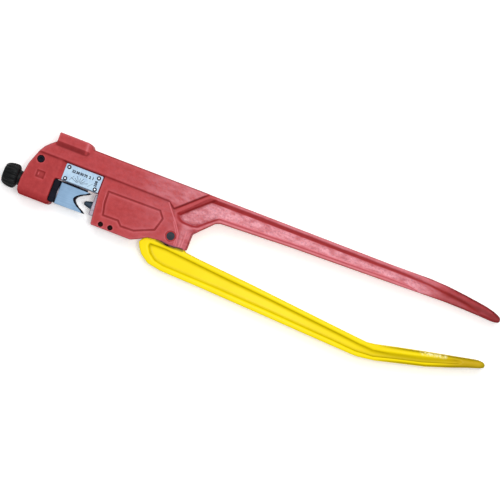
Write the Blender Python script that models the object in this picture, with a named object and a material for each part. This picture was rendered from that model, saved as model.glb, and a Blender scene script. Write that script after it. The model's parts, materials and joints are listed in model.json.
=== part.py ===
"""Long-handled two-hand indent crimping tool for cable lugs.

A red C-shaped frame casting carries a fixed handle.  A yellow fork handle turns
on a pivot pin, its steel cam drives a roller and a sliding ram, and the ram's
punch closes on a V-shaped die.  A knob turns a captive spindle that sets the
die.  Lengths below are millimetres measured from the pivot pin's centre: X runs
along the fixed handle, Y runs from the moving handle to the spine, and Z is the
tool's thickness.
"""
import math

import bmesh
import bpy
from mathutils import Matrix, Vector

MM = 0.001
# The pivot pin's centre in the shared frame, which is centred on the tool.
PIVOT_X = -98.5
PIVOT_Y = -7.5
MID_Z = 22.0

# Thicknesses, as distances from the middle plane.
HALF_PAD = 22.0
HALF_SPINE = 19.0
HALF_FACE = 17.2
HALF_BRIDGE = 13.8
HALF_TIP = 12.0
HALF_RIM = 16.4
HALF_WEB = 8.6
HALF_CAVITY = 13.5
HALF_FORK = 12.0
HALF_SLOT = 6.3
CLEAR = 0.4
THROUGH = (-4.0, 50.0)
PIN_HALF = HALF_FACE - 0.4

# Drive geometry: the cam moves the roller 18 mm over 50 degrees at a constant rate.
SWING = math.radians(50.0)
STROKE = 18.0
CAM_RATE = STROKE / SWING
ROLLER_REACH = 48.0
ROLLER_R = 8.0
CAM_GAP = 0.35

SIDES = 48
SMALL_SIDES = 24


# ---------------------------------------------------------------- materials
def material(name, colour, metallic, roughness):
    mat = bpy.data.materials.new(name)
    mat.use_nodes = True
    shader = mat.node_tree.nodes["Principled BSDF"]
    shader.inputs["Base Color"].default_value = (*colour, 1.0)
    shader.inputs["Metallic"].default_value = metallic
    shader.inputs["Roughness"].default_value = roughness
    mat.diffuse_color = (*colour, 1.0)
    return mat


# ---------------------------------------------------------------- mesh helpers
def to_frame(x, y, z):
    """A point in millimetres from the pivot, as metres in the shared frame."""
    return Vector(((x + PIVOT_X) * MM, (y + PIVOT_Y) * MM, z * MM))


def add_object(name, bm):
    bmesh.ops.recalc_face_normals(bm, faces=bm.faces)
    mesh = bpy.data.meshes.new(name)
    bm.to_mesh(mesh)
    bm.free()
    obj = bpy.data.objects.new(name, mesh)
    bpy.context.scene.collection.objects.link(obj)
    return obj


def slab(outline, half, name="solid"):
    """A plate with the given outline and half-thickness."""
    return layer(outline, MID_Z - half, MID_Z + half, name)


def tapered_slab(outline, rule, fold, name="solid"):
    """A plate whose half-thickness follows a rule along X that changes slope at the fold."""
    bm = bmesh.new()
    low = [bm.verts.new(to_frame(x, y, MID_Z - rule(x))) for x, y in outline]
    high = [bm.verts.new(to_frame(x, y, MID_Z + rule(x))) for x, y in outline]
    first, last = [i for i, point in enumerate(outline) if point[0] == fold]
    for row in (low, high):
        bm.faces.new(row[first : last + 1])
        bm.faces.new(row[last:] + row[: first + 1])
    count = len(outline)
    for i in range(count):
        j = (i + 1) % count
        bm.faces.new((low[i], low[j], high[j], high[i]))
    return add_object(name, bm)


def layer(outline, z_low, z_high, name="solid"):
    """A plate between two heights."""
    bm = bmesh.new()
    low = [bm.verts.new(to_frame(x, y, z_low)) for x, y in outline]
    high = [bm.verts.new(to_frame(x, y, z_high)) for x, y in outline]
    bm.faces.new(low)
    bm.faces.new(high)
    count = len(outline)
    for i in range(count):
        j = (i + 1) % count
        bm.faces.new((low[i], low[j], high[j], high[i]))
    return add_object(name, bm)


def loft(rings, name="solid"):
    """A closed solid through equal rings of points in millimetres."""
    bm = bmesh.new()
    rows = [[bm.verts.new(to_frame(*p)) for p in ring] for ring in rings]
    for row, after in zip(rows, rows[1:]):
        for i in range(len(row)):
            j = (i + 1) % len(row)
            bm.faces.new((row[i], row[j], after[j], after[i]))
    bm.faces.new(rows[0])
    bm.faces.new(rows[-1])
    return add_object(name, bm)


def split_faces(obj):
    """Four-sided faces that may be twisted become pairs of triangles."""
    bm = bmesh.new()
    bm.from_mesh(obj.data)
    quads = [face for face in bm.faces if len(face.verts) == 4]
    bmesh.ops.triangulate(bm, faces=quads)
    bm.to_mesh(obj.data)
    bm.free()
    return obj


def block(x0, x1, y0, y1, z0, z1, name="solid"):
    return layer([(x0, y0), (x1, y0), (x1, y1), (x0, y1)], z0, z1, name)


def turned(axis, centre, stations, sides=SIDES, name="solid"):
    """A solid of revolution: stations are (distance along the axis, radius)."""
    rings = []
    for along, radius in stations:
        ring = []
        for i in range(sides):
            a = 2.0 * math.pi * (i + 0.5) / sides
            u, v = radius * math.cos(a), radius * math.sin(a)
            if axis == "X":
                ring.append((along, centre[0] + u, centre[1] + v))
            elif axis == "Y":
                ring.append((centre[0] + u, along, centre[1] + v))
            else:
                ring.append((centre[0] + u, centre[1] + v, along))
        rings.append(ring)
    return loft(rings, name)


def rod(axis, centre, low, high, radius, sides=SIDES, chamfer=0.0, name="solid"):
    if chamfer <= 0.0:
        return turned(axis, centre, [(low, radius), (high, radius)], sides, name)
    stations = [
        (low, radius - chamfer),
        (low + chamfer, radius),
        (high - chamfer, radius),
        (high, radius - chamfer),
    ]
    return turned(axis, centre, stations, sides, name)


def wire(points, radius, sides, name):
    """A round wire swept along points in millimetres."""
    path = [Vector(p) for p in points]
    tangents = []
    for i in range(len(path)):
        ahead = path[min(i + 1, len(path) - 1)]
        behind = path[max(i - 1, 0)]
        tangents.append((ahead - behind).normalized())
    side = tangents[0].orthogonal().normalized()
    rings = []
    for point, tangent in zip(path, tangents):
        side = (side - tangent * side.dot(tangent)).normalized()
        other = tangent.cross(side)
        ring = []
        for i in range(sides):
            a = 2.0 * math.pi * i / sides
            ring.append(point + radius * (math.cos(a) * side + math.sin(a) * other))
        rings.append(ring)
    return loft(rings, name)


def bake(obj):
    """Turn the object's modifiers into plain mesh."""
    graph = bpy.context.evaluated_depsgraph_get()
    mesh = bpy.data.meshes.new_from_object(obj.evaluated_get(graph))
    obj.modifiers.clear()
    old = obj.data
    obj.data = mesh
    bpy.data.meshes.remove(old)
    return obj


def combine(obj, others, operation):
    for other in others:
        step = obj.modifiers.new("step", "BOOLEAN")
        step.operation = operation
        step.solver = "EXACT"
        step.object = other
        bake(obj)
        bpy.data.objects.remove(other, do_unlink=True)
    return obj


def join(obj, *others):
    return combine(obj, others, "UNION")


def cut(obj, *others):
    return combine(obj, others, "DIFFERENCE")


def soften(obj, width, segments=2, angle=35.0):
    """Round the sharp edges."""
    step = obj.modifiers.new("soften", "BEVEL")
    step.width = width * MM
    step.segments = segments
    step.limit_method = "ANGLE"
    step.angle_limit = math.radians(angle)
    step.use_clamp_overlap = True
    return bake(obj)


def finish(obj, name, mat, origin=(0.0, 0.0, MID_Z)):
    """Name a piece, give it its material and put its origin on its own axis."""
    mesh = obj.data
    bm = bmesh.new()
    bm.from_mesh(mesh)
    bmesh.ops.remove_doubles(bm, verts=bm.verts, dist=1e-6)
    bm.to_mesh(mesh)
    bm.free()
    place = to_frame(*origin)
    mesh.transform(Matrix.Translation(-place))
    obj.location = place
    obj.name = name
    mesh.name = name
    mesh.materials.clear()
    mesh.materials.append(mat)
    return obj


def arc(cx, cy, radius, start, end, steps):
    """Points along an arc, angles in degrees."""
    points = []
    for i in range(steps + 1):
        a = math.radians(start + (end - start) * i / steps)
        points.append((cx + radius * math.cos(a), cy + radius * math.sin(a)))
    return points


def inset(outline, distance):
    """Move an anticlockwise outline inwards by a distance."""
    result = []
    count = len(outline)
    for i in range(count):
        before = Vector(outline[i - 1])
        here = Vector(outline[i])
        after = Vector(outline[(i + 1) % count])
        d1 = (here - before).normalized()
        d2 = (after - here).normalized()
        n1 = Vector((-d1.y, d1.x))
        n2 = Vector((-d2.y, d2.x))
        mitre = n1 + n2
        mitre = mitre / max(mitre.dot(n1), 0.3)
        moved = here + mitre * distance
        result.append((moved.x, moved.y))
    return result


def pocket(mouth, floor, rule, floor_half, side):
    """A recess with drafted walls, from its mouth on a handle's face to its floor."""
    lift = rule(mouth[0][0]) + 2.0
    bottom, top = [], []
    for (mx, my), (fx, fy) in zip(mouth, floor):
        reach = (lift - floor_half) / (rule(mx) - floor_half)
        bottom.append((fx, fy, MID_Z + side * floor_half))
        top.append((fx + (mx - fx) * reach, fy + (my - fy) * reach, MID_Z + side * lift))
    return split_faces(loft([bottom, top]))


# ---------------------------------------------------------------- frame casting
TAPER_START = 30.0


def red_half(x):
    """The fixed handle's rim gets thinner from the ear to its tip."""
    if x <= TAPER_START:
        return HALF_RIM
    return HALF_RIM + (HALF_TIP - HALF_RIM) * (x - TAPER_START) / 388.0


def fork_half(x):
    return HALF_FORK


HEAD_OUTLINE = [
    (-189.0, 43.0),
    (-190.0, 40.7),
    (-197.0, 22.0),
    (-200.0, 1.0),
    (-200.0, -9.0),
    (-199.0, -14.5),
    (-195.5, -18.8),
    (-159.0, -18.8),
    (-157.0, -17.8),
    (-154.6, -13.9),
    (-159.7, -13.9),
    (-159.7, 15.9),
    (-153.0, 15.9),
    (-153.0, 43.0),
]

HOUSING_OUTLINE = [
    (-102.9, 43.0),
    (-102.5, 15.9),
    (-98.6, -22.3),
    (-46.0, -22.3),
    (-35.7, -17.2),
    (-26.4, -12.0),
    (-12.8, -10.2),
    (0.6, -12.4),
    (10.6, -12.0),
    (11.6, -9.8),
    (9.4, 6.6),
    (2.1, 17.6),
    (-7.4, 29.0),
    (-17.4, 40.0),
    (-20.0, 43.0),
]

BRIDGE_OUTLINE = [(-165.0, 15.9), (-96.0, 15.9), (-96.0, 48.0), (-165.0, 48.0)]

# The whole red body at the level of the handle's rim; its lower left is inside the housing.
BODY_OUTLINE = [
    (-190.2, 40.0),
    (-32.0, 40.0),
    (-19.0, 27.0),
    (-9.0, 15.0),
    (-4.0, 4.0),
    (-2.0, -8.6),
    (12.0, -11.0),
    (24.4, -10.5),
    (24.4, 11.4),
    (TAPER_START, 17.3),
    (46.4, 34.3),
    (52.0, 36.4),
    (148.0, 40.7),
    (210.0, 42.3),
    (272.0, 44.0),
    (347.0, 46.3),
    (372.0, 46.0),
    (396.0, 45.2),
    (411.0, 44.4),
    (417.0, 45.4),
    (419.0, 47.7),
    (418.0, 51.0),
    (408.0, 54.8),
    (396.0, 58.4),
    (384.0, 61.3),
    (372.0, 63.2),
    (347.0, 65.8),
    (322.0, 67.0),
    (272.0, 65.9),
    (TAPER_START, 65.7),
    (-127.0, 65.5),
    (-170.0, 65.5),
    (-174.0, 58.5),
    (-180.0, 53.5),
    (-185.5, 47.8),
]

# The thick spine ends in a diagonal step down to the handle's rim.
SPINE_OUTLINE = [
    (-190.2, 40.0),
    (-17.4, 40.0),
    (-7.9, 32.9),
    (27.2, 65.7),
    (-127.0, 65.5),
    (-170.0, 65.5),
    (-174.0, 58.5),
    (-180.0, 53.5),
    (-185.5, 47.8),
]

# The handle's channel: mouth and floor, point by point. Near the tip it opens downwards.
CHANNEL_MOUTH = [
    (-3.5, 29.4),
    (-1.5, 24.8),
    (2.7, 21.0),
    (9.0, 19.6),
    (20.7, 19.4),
    (27.0, 20.6),
    (49.2, 40.0),
    (148.0, 44.3),
    (210.0, 45.9),
    (272.0, 47.6),
    (300.0, 47.4),
    (330.0, 43.0),
    (394.0, 41.0),
    (396.0, 49.4),
    (377.0, 54.6),
    (353.0, 58.8),
    (322.0, 61.6),
    (272.0, 62.3),
    (150.0, 62.1),
    (30.0, 62.0),
    (8.3, 40.2),
]

CHANNEL_FLOOR = [
    (3.0, 29.2),
    (4.4, 25.8),
    (7.6, 23.6),
    (12.0, 22.8),
    (20.2, 22.7),
    (24.6, 23.8),
    (47.6, 42.6),
    (148.0, 46.1),
    (210.0, 47.7),
    (272.0, 49.4),
    (300.0, 48.8),
    (330.0, 43.8),
    (390.0, 42.0),
    (388.0, 47.4),
    (374.0, 51.0),
    (352.0, 54.0),
    (322.0, 57.0),
    (272.0, 57.8),
    (150.0, 57.2),
    (33.0, 56.8),
    (13.6, 39.8),
]

PAD_LEFT, PAD_RIGHT, PAD_TOP = -173.0, -128.0, 71.4

CAVITY_OUTLINE = [
    (-110.0, -30.0),
    (40.0, -30.0),
    (40.0, 19.0),
    (-47.0, 19.0),
    (-47.0, 15.0),
    (-110.0, 15.0),
]

KEEPER_PINS = [(-86.5, -17.6), (-74.0, -17.6)]
CROSS_SCREW = (-184.5, 31.7)
GRUB_Z = MID_Z + 15.3
SPRING_Y = 19.5
ANCHOR_X = -46.0
POST_X = -90.0
PLATE_BOX = (-152.4, -103.8, 16.6, 38.6)
PLATE_Z = MID_Z + HALF_BRIDGE + CLEAR
PLATE_SCREWS = [(y, z) for y in (-10.6, 11.4) for z in (MID_Z - 11.4, MID_Z + 11.4)]
RIVETS = [(x, y) for x in (-148.0, -108.6) for y in (20.0, 34.8)]


def build_casting(mat):
    body = soften(tapered_slab(BODY_OUTLINE, red_half, TAPER_START), 2.4, 2)
    for side in (-1.0, 1.0):
        cut(body, pocket(CHANNEL_MOUTH, CHANNEL_FLOOR, red_half, HALF_WEB, side))
    join(body, soften(slab(inset(SPINE_OUTLINE, -0.2), HALF_SPINE), 2.0, 2))

    # Head and housing faces lie a little below the spine, the bridge lower still.
    head = soften(slab(HEAD_OUTLINE, HALF_FACE), 1.6, 2)
    for side in (-1.0, 1.0):
        low, high = MID_Z + side * HALF_BRIDGE, MID_Z + side * (HALF_FACE + 1.0)
        ends = (14.0, 46.0)
        slope = [[(-152.0, y, low), (-152.0, y, high), (-161.5, y, high)] for y in ends]
        cut(head, loft(slope))
    join(body, head)
    join(body, soften(slab(HOUSING_OUTLINE, HALF_FACE), 1.2, 2))
    join(body, slab(BRIDGE_OUTLINE, HALF_BRIDGE))

    # The foot pad, flared out from the spine on both sides and rounded off at its right end.
    flare = []
    for x, half, top in (
        (PAD_LEFT, HALF_PAD, PAD_TOP),
        (-134.6, HALF_PAD, PAD_TOP),
        (-131.6, HALF_PAD - 0.7, PAD_TOP - 1.0),
        (-129.2, HALF_PAD - 2.0, PAD_TOP - 3.0),
        (PAD_RIGHT, HALF_SPINE + 0.2, PAD_TOP - 5.4),
    ):
        foot = min(60.5, top - 2.0)
        ring = [
            (x, 48.0, MID_Z - HALF_SPINE + 1.0),
            (x, 48.0, MID_Z + HALF_SPINE - 1.0),
            (x, 54.0, MID_Z + HALF_SPINE - 0.2),
            (x, foot, MID_Z + half),
            (x, top, MID_Z + half),
            (x, top, MID_Z - half),
            (x, foot, MID_Z - half),
            (x, 54.0, MID_Z - HALF_SPINE + 0.2),
        ]
        flare.append(ring)
    join(body, split_faces(loft(flare)))

    # The housing: ram guide, fork space, cam relief and return spring pocket.
    cut(body, layer(CAVITY_OUTLINE, MID_Z - HALF_CAVITY, MID_Z + HALF_CAVITY))
    relief = arc(0.0, 0.0, 43.0, 60.0, 185.0, 20) + [(-20.0, -5.0), (20.0, -5.0)]
    cut(body, layer(relief, MID_Z - HALF_SLOT, MID_Z + HALF_SLOT))
    cut(body, block(-99.0, -41.0, 10.0, 24.0, MID_Z - 4.6, MID_Z + 4.6))

    # Cross holes.
    cut(body, rod("Z", (0.0, 0.0), *THROUGH, 6.2 + CLEAR))
    for x, y in KEEPER_PINS:
        cut(body, rod("Z", (x, y), *THROUGH, 2.8 + CLEAR, SMALL_SIDES))
    cut(body, rod("Z", (ANCHOR_X, SPRING_Y), -4.0, MID_Z + 8.0, 1.5 + CLEAR, SMALL_SIDES))
    cut(body, rod("Y", (0.0, GRUB_Z), -20.0, -5.0, 1.1 + CLEAR, SMALL_SIDES))

    # The head: spindle bush bore, die shank bore, detent bore and cross screw hole.
    cut(body, rod("X", (0.0, MID_Z), -204.0, -170.0, 8.0 + CLEAR))
    cut(body, rod("X", (0.0, MID_Z), -178.2, -158.0, 10.0 + CLEAR))
    cut(body, rod("Y", (CROSS_SCREW[0], MID_Z), 4.0, 30.0, 2.9 + CLEAR, SMALL_SIDES))
    cut(body, rod("Z", CROSS_SCREW, MID_Z - 12.0, MID_Z + 12.0, 3.0 + CLEAR))
    cut(body, rod("Z", CROSS_SCREW, MID_Z + 11.0, 50.0, 4.3 + CLEAR))
    for y, z in PLATE_SCREWS:
        cut(body, rod("X", (y, z), -168.0, -158.0, 1.25 + CLEAR, SMALL_SIDES))

    # The die key's groove under the jaw ledge, and the size plate's rivet holes.
    cut(body, block(-148.0, -114.0, 12.0, 20.5, MID_Z - 3.4, MID_Z + 3.4))
    for x, y in RIVETS:
        cut(body, rod("Z", (x, y), 30.0, 50.0, 1.1 + CLEAR, SMALL_SIDES))
    return finish(body, "frame_casting", mat, (-60.0, 30.0, MID_Z))


# ---------------------------------------------------------------- moving handle
FORK_OUTLINE = [
    (-35.1, -20.1),
    (-31.4, -27.5),
    (-26.2, -34.3),
    (-14.6, -42.0),
    (3.3, -45.1),
    (57.3, -46.9),
    (124.9, -50.0),
    (192.6, -53.2),
    (260.0, -56.3),
    (270.0, -56.4),
    (292.3, -53.2),
    (322.5, -45.5),
    (353.0, -37.8),
    (382.2, -27.9),
    (416.5, -15.0),
    (421.0, -12.6),
    (420.6, -9.6),
    (407.6, -7.4),
    (376.6, -14.0),
    (345.6, -20.5),
    (315.8, -27.0),
    (286.0, -34.0),
    (276.0, -35.3),
    (251.3, -33.1),
    (181.9, -26.5),
    (113.7, -20.0),
    (44.3, -14.5),
    (24.4, -12.4),
    (16.0, -5.0),
    (15.5, 4.0),
    (11.3, 11.3),
    (4.0, 15.5),
    (-4.0, 15.5),
    (-11.3, 11.3),
    (-18.0, -2.0),
    (-30.0, -12.5),
]

# The grip's shallow recess: mouth and floor, point by point.
GRIP_MOUTH = [
    (-22.0, -16.8),
    (-22.4, -21.5),
    (-18.0, -29.0),
    (-9.0, -36.2),
    (4.0, -39.2),
    (80.0, -41.6),
    (142.0, -44.4),
    (235.0, -49.6),
    (266.0, -51.6),
    (288.0, -50.0),
    (312.0, -43.6),
    (348.0, -34.6),
    (376.0, -25.0),
    (396.0, -17.6),
    (394.0, -13.6),
    (374.0, -17.4),
    (348.0, -25.2),
    (312.0, -34.6),
    (286.0, -40.4),
    (268.0, -39.8),
    (235.0, -36.6),
    (142.0, -27.9),
    (80.0, -23.2),
    (30.0, -18.8),
    (0.0, -16.2),
]

GRIP_FLOOR = [
    (-19.6, -18.8),
    (-19.6, -21.5),
    (-15.6, -28.0),
    (-7.6, -34.0),
    (4.0, -36.4),
    (80.0, -38.8),
    (142.0, -41.8),
    (235.0, -47.4),
    (266.0, -49.8),
    (288.0, -48.6),
    (312.0, -42.2),
    (348.0, -33.2),
    (374.0, -24.6),
    (388.0, -20.0),
    (387.0, -18.0),
    (374.0, -22.0),
    (348.0, -29.8),
    (312.0, -38.6),
    (286.0, -43.4),
    (268.0, -42.2),
    (235.0, -38.8),
    (142.0, -30.1),
    (80.0, -25.4),
    (30.0, -21.0),
    (0.0, -18.4),
]

FORK_SLOT = [
    (-50.0, -60.0),
    (-24.0, -60.0),
    (-8.0, -36.0),
    (12.0, -33.0),
    (20.0, -14.0),
    (20.0, 20.0),
    (-50.0, 20.0),
]

CAM_PIN = (5.0, -23.5)


def build_handle(mat):
    body = soften(slab(FORK_OUTLINE, HALF_FORK), 2.2, 2)
    for side in (-1.0, 1.0):
        cut(body, pocket(GRIP_MOUTH, GRIP_FLOOR, fork_half, HALF_WEB, side))
    cut(body, layer(FORK_SLOT, MID_Z - HALF_SLOT, MID_Z + HALF_SLOT))
    cut(body, rod("Z", (0.0, 0.0), *THROUGH, 8.5 + CLEAR))
    cut(body, rod("Z", CAM_PIN, *THROUGH, 3.0 + CLEAR, SMALL_SIDES))
    return finish(body, "moving_handle", mat)


def cam_outline():
    """Hub, lift profile and pin tail, anticlockwise in the closed position."""
    lift = []
    for i in range(25):
        phi = math.radians(176.0 + 58.0 * i / 24.0)
        reach = ROLLER_REACH - CAM_RATE * (phi - math.pi)
        out = Vector((math.cos(phi), math.sin(phi)))
        turn = Vector((-math.sin(phi), math.cos(phi)))
        run = (turn * reach - out * CAM_RATE).normalized()
        inward = Vector((-run.y, run.x))
        point = out * reach + inward * (ROLLER_R + CAM_GAP)
        lift.append((point.x, point.y))
    tail = arc(CAM_PIN[0], CAM_PIN[1], 7.0, 200.0, 340.0, 10)
    hub = arc(0.0, 0.0, 14.0, -30.0, 130.0, 16)
    nose = [(-24.0, 18.5), (-33.0, 14.0), (-38.0, 7.5)]
    return tail + hub + nose + lift


# ---------------------------------------------------------------- build
for old in list(bpy.data.objects):
    bpy.data.objects.remove(old, do_unlink=True)

RED = material("red_paint", (0.62, 0.05, 0.06), 0.0, 0.5)
YELLOW = material("yellow_paint", (0.95, 0.75, 0.01), 0.0, 0.3)
BLACK = material("black_oxide", (0.02, 0.02, 0.022), 0.6, 0.45)
KNOB = material("knob_plastic", (0.018, 0.02, 0.022), 0.0, 0.4)
DIE = material("die_steel", (0.42, 0.52, 0.66), 1.0, 0.35)
DARK = material("dark_steel", (0.06, 0.085, 0.12), 0.9, 0.35)
STEEL = material("bright_steel", (0.62, 0.65, 0.7), 1.0, 0.3)
SPRING = material("spring_steel", (0.45, 0.47, 0.5), 1.0, 0.35)
BRONZE = material("bronze", (0.6, 0.38, 0.14), 1.0, 0.4)
PLATE = material("plate_aluminium", (0.62, 0.7, 0.82), 0.9, 0.4)

build_casting(RED)
build_handle(YELLOW)

# Pivot: pin, grub screw that locks it, two bushes and two thrust washers.
pivot = rod("Z", (0.0, 0.0), MID_Z - PIN_HALF, MID_Z + PIN_HALF, 6.2, SIDES, 0.8)
finish(pivot, "pivot_pin", BLACK)
grub = rod("Y", (0.0, GRUB_Z), -11.2, -6.9, 1.1, SMALL_SIDES, 0.2)
finish(grub, "pivot_grub_screw", BLACK, (0.0, 0.0, GRUB_Z))
for label, side in (("back", -1.0), ("front", 1.0)):
    outer = MID_Z + side * (HALF_FORK - 0.2)
    inner = MID_Z + side * (HALF_SLOT + 0.2)
    bush = rod("Z", (0.0, 0.0), min(inner, outer), max(inner, outer), 8.5)
    cut(bush, rod("Z", (0.0, 0.0), *THROUGH, 6.2 + CLEAR))
    finish(bush, "pivot_bush_" + label, BRONZE)
    near = MID_Z + side * (HALF_FORK + 0.35)
    far = MID_Z + side * (HALF_CAVITY - 0.35)
    washer = rod("Z", (0.0, 0.0), min(near, far), max(near, far), 13.0)
    cut(washer, rod("Z", (0.0, 0.0), *THROUGH, 6.2 + CLEAR))
    finish(washer, "thrust_washer_" + label, BRONZE)

# Cam and the pin that keys it to the fork.
cam = layer(cam_outline(), MID_Z - HALF_SLOT + CLEAR, MID_Z + HALF_SLOT - CLEAR)
cut(cam, rod("Z", (0.0, 0.0), *THROUGH, 6.2 + CLEAR))
cut(cam, rod("Z", CAM_PIN, *THROUGH, 3.0 + CLEAR, SMALL_SIDES))
finish(cam, "cam", STEEL)
cam_pin = rod("Z", CAM_PIN, MID_Z - 7.8, MID_Z + 7.8, 3.0, SMALL_SIDES, 0.4)
finish(cam_pin, "cam_pin", DARK)

# Ram, with a tongue that reaches between the fork's cheeks and holds the roller.
RAM_FRONT, RAM_BACK = -105.3, -64.0
ram = soften(
    block(RAM_FRONT, RAM_BACK, -12.0, 14.6, MID_Z - 13.1, MID_Z + 13.1), 0.8, 1
)
tongue = [(-66.0, -6.0)] + arc(-ROLLER_REACH, 0.0, 6.0, -90.0, 90.0, 12)
tongue.append((-66.0, 6.0))
join(ram, layer(tongue, MID_Z - 5.7, MID_Z + 5.7))
roller_space = arc(-ROLLER_REACH, 0.0, ROLLER_R + 0.5, 90.0, 270.0, 16)
roller_space += [(-36.0, -ROLLER_R - 0.5), (-36.0, ROLLER_R + 0.5)]
cut(ram, layer(roller_space, MID_Z - 3.1, MID_Z + 3.1))
cut(ram, rod("Z", (-ROLLER_REACH, 0.0), *THROUGH, 2.5 + CLEAR, SMALL_SIDES))
cut(ram, rod("X", (0.0, MID_Z), -108.0, -84.0, 4.6 + CLEAR))
cut(ram, rod("Y", (-93.0, MID_Z), -14.0, 0.0, 2.0 + CLEAR, SMALL_SIDES))
cut(ram, rod("Y", (POST_X, MID_Z), 7.0, 20.0, 1.8 + CLEAR, SMALL_SIDES))
finish(ram, "ram", STEEL, (-85.0, 0.0, MID_Z))

PUNCH_STATIONS = [
    (-116.3, 1.5),
    (-115.7, 2.2),
    (-114.6, 2.7),
    (-105.6, 5.3),
    (-105.6, 4.6),
    (-84.4, 4.6),
]
punch = turned("X", (0.0, MID_Z), PUNCH_STATIONS)
finish(punch, "punch", DARK, (-85.0, 0.0, MID_Z))
finish(
    rod("Y", (-93.0, MID_Z), -11.6, -5.1, 2.0, SMALL_SIDES, 0.3),
    "punch_set_screw",
    BLACK,
    (-85.0, 0.0, MID_Z),
)
finish(
    rod("Z", (-ROLLER_REACH, 0.0), MID_Z - 5.5, MID_Z + 5.5, 2.5, SMALL_SIDES, 0.3),
    "roller_pin",
    DARK,
    (-ROLLER_REACH, 0.0, MID_Z),
)
roller = rod("Z", (-ROLLER_REACH, 0.0), MID_Z - 2.7, MID_Z + 2.7, ROLLER_R, SIDES, 0.4)
cut(
    roller,
    rod("Z", (-ROLLER_REACH, 0.0), *THROUGH, 2.5 + CLEAR, SMALL_SIDES),
)
finish(roller, "roller", STEEL, (-ROLLER_REACH, 0.0, MID_Z))
post = turned(
    "Y",
    (POST_X, MID_Z),
    [(7.4, 1.8), (21.3, 1.8), (21.3, 2.6), (22.3, 2.6)],
    SMALL_SIDES,
)
finish(post, "ram_spring_post", DARK, (-85.0, 0.0, MID_Z))

# Return spring, stretched while the handles are closed, and its anchor pin.
anchor = rod(
    "Z", (ANCHOR_X, SPRING_Y), MID_Z - PIN_HALF, MID_Z + 7.6, 1.5, SMALL_SIDES, 0.3
)
finish(anchor, "spring_anchor_pin", DARK, (ANCHOR_X, SPRING_Y, MID_Z))
COIL_R, WIRE_R, COIL_START, COIL_END, TURNS = 2.5, 0.45, -84.0, -52.0, 13.25
HOOK_R = 1.8 + 0.4 + WIRE_R
spring_path = []
for x, z in arc(POST_X, MID_Z, HOOK_R, 30.0, 325.0, 20):
    spring_path.append((x, SPRING_Y, z))
steps = int(TURNS * 14)
for i in range(steps + 1):
    t = i / steps
    a = math.radians(-90.0) + 2.0 * math.pi * TURNS * t
    x = COIL_START + (COIL_END - COIL_START) * t
    spring_path.append(
        (x, SPRING_Y + COIL_R * math.cos(a), MID_Z + COIL_R * math.sin(a))
    )
HOOK_R = 1.5 + 0.4 + WIRE_R
for x, y in arc(ANCHOR_X, SPRING_Y, HOOK_R, 145.0, -150.0, 20):
    spring_path.append((x, y, MID_Z))
finish(
    wire(spring_path, WIRE_R, 6, "spring"),
    "return_spring",
    SPRING,
    (ANCHOR_X, SPRING_Y, MID_Z),
)

# Keeper under the ram, held by two cross pins.
keeper = soften(block(-97.0, -50.0, -21.4, -12.4, MID_Z - 13.1, MID_Z + 13.1), 0.6, 1)
for x, y in KEEPER_PINS:
    cut(keeper, rod("Z", (x, y), *THROUGH, 2.8 + CLEAR, SMALL_SIDES))
finish(keeper, "ram_keeper", DARK, (-73.0, -17.0, MID_Z))
for number, (x, y) in enumerate(KEEPER_PINS, 1):
    pin = rod("Z", (x, y), MID_Z - 14.4, MID_Z + 14.4, 2.8, SMALL_SIDES, 0.4)
    finish(pin, f"keeper_pin_{number}", BLACK, (x, y, MID_Z))

# Head: bush, cover plate with its screws, detent and the cross screw above it.
bush = rod("X", (0.0, MID_Z), -199.6, -178.6, 8.0)
cut(bush, rod("X", (0.0, MID_Z), -204.0, -170.0, 6.0 + CLEAR))
cut(bush, rod("Y", (CROSS_SCREW[0], MID_Z), 2.0, 12.0, 2.9 + CLEAR, SMALL_SIDES))
finish(bush, "spindle_bush", BRONZE, (-190.0, 0.0, MID_Z))
cover = soften(block(-159.3, -151.6, -13.6, 15.0, MID_Z - 15.0, MID_Z + 15.0), 0.6, 1)
cut(cover, rod("X", (0.0, MID_Z), -162.0, -150.0, 10.0 + CLEAR))
for y, z in PLATE_SCREWS:
    cut(cover, rod("X", (y, z), -162.0, -150.0, 1.25 + CLEAR, SMALL_SIDES))
    cut(cover, rod("X", (y, z), -154.6, -150.0, 2.4 + CLEAR, SMALL_SIDES))
finish(cover, "head_cover", BLACK, (-155.0, 0.0, MID_Z))
for number, (y, z) in enumerate(PLATE_SCREWS, 1):
    screw = turned(
        "X",
        (y, z),
        [(-167.0, 1.25), (-154.2, 1.25), (-154.2, 2.4), (-152.2, 2.4)],
        SMALL_SIDES,
    )
    finish(screw, f"head_cover_screw_{number}", BLACK, (-160.0, y, z))
plunger = turned(
    "Y",
    (CROSS_SCREW[0], MID_Z),
    [(6.5, 0.8), (8.2, 2.4), (10.5, 2.9), (15.5, 2.9)],
    SMALL_SIDES,
)
finish(plunger, "detent_plunger", STEEL, (CROSS_SCREW[0], 10.0, MID_Z))
detent_path = []
for i in range(6 * 14 + 1):
    a = 2.0 * math.pi * i / 14.0
    y = 16.3 + 11.4 * i / (6 * 14)
    detent_path.append(
        (CROSS_SCREW[0] + 2.2 * math.cos(a), y, MID_Z + 2.2 * math.sin(a))
    )
finish(
    wire(detent_path, 0.4, 6, "spring"),
    "detent_spring",
    SPRING,
    (CROSS_SCREW[0], 22.0, MID_Z),
)
cross = turned(
    "Z",
    CROSS_SCREW,
    [
        (MID_Z - 11.4, 2.6),
        (MID_Z - 11.0, 3.0),
        (MID_Z + 11.5, 3.0),
        (MID_Z + 11.5, 4.3),
        (MID_Z + 16.0, 4.3),
        (MID_Z + 16.4, 3.9),
    ],
    SIDES,
)
cut(
    cross,
    rod("Z", CROSS_SCREW, MID_Z + 13.0, 50.0, 2.3, 6),
)
finish(cross, "cross_screw", BLACK, (CROSS_SCREW[0], CROSS_SCREW[1], MID_Z))

# Knob, spindle, collar and end screw: these turn together about the X axis.
FLUTES = 18


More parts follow.
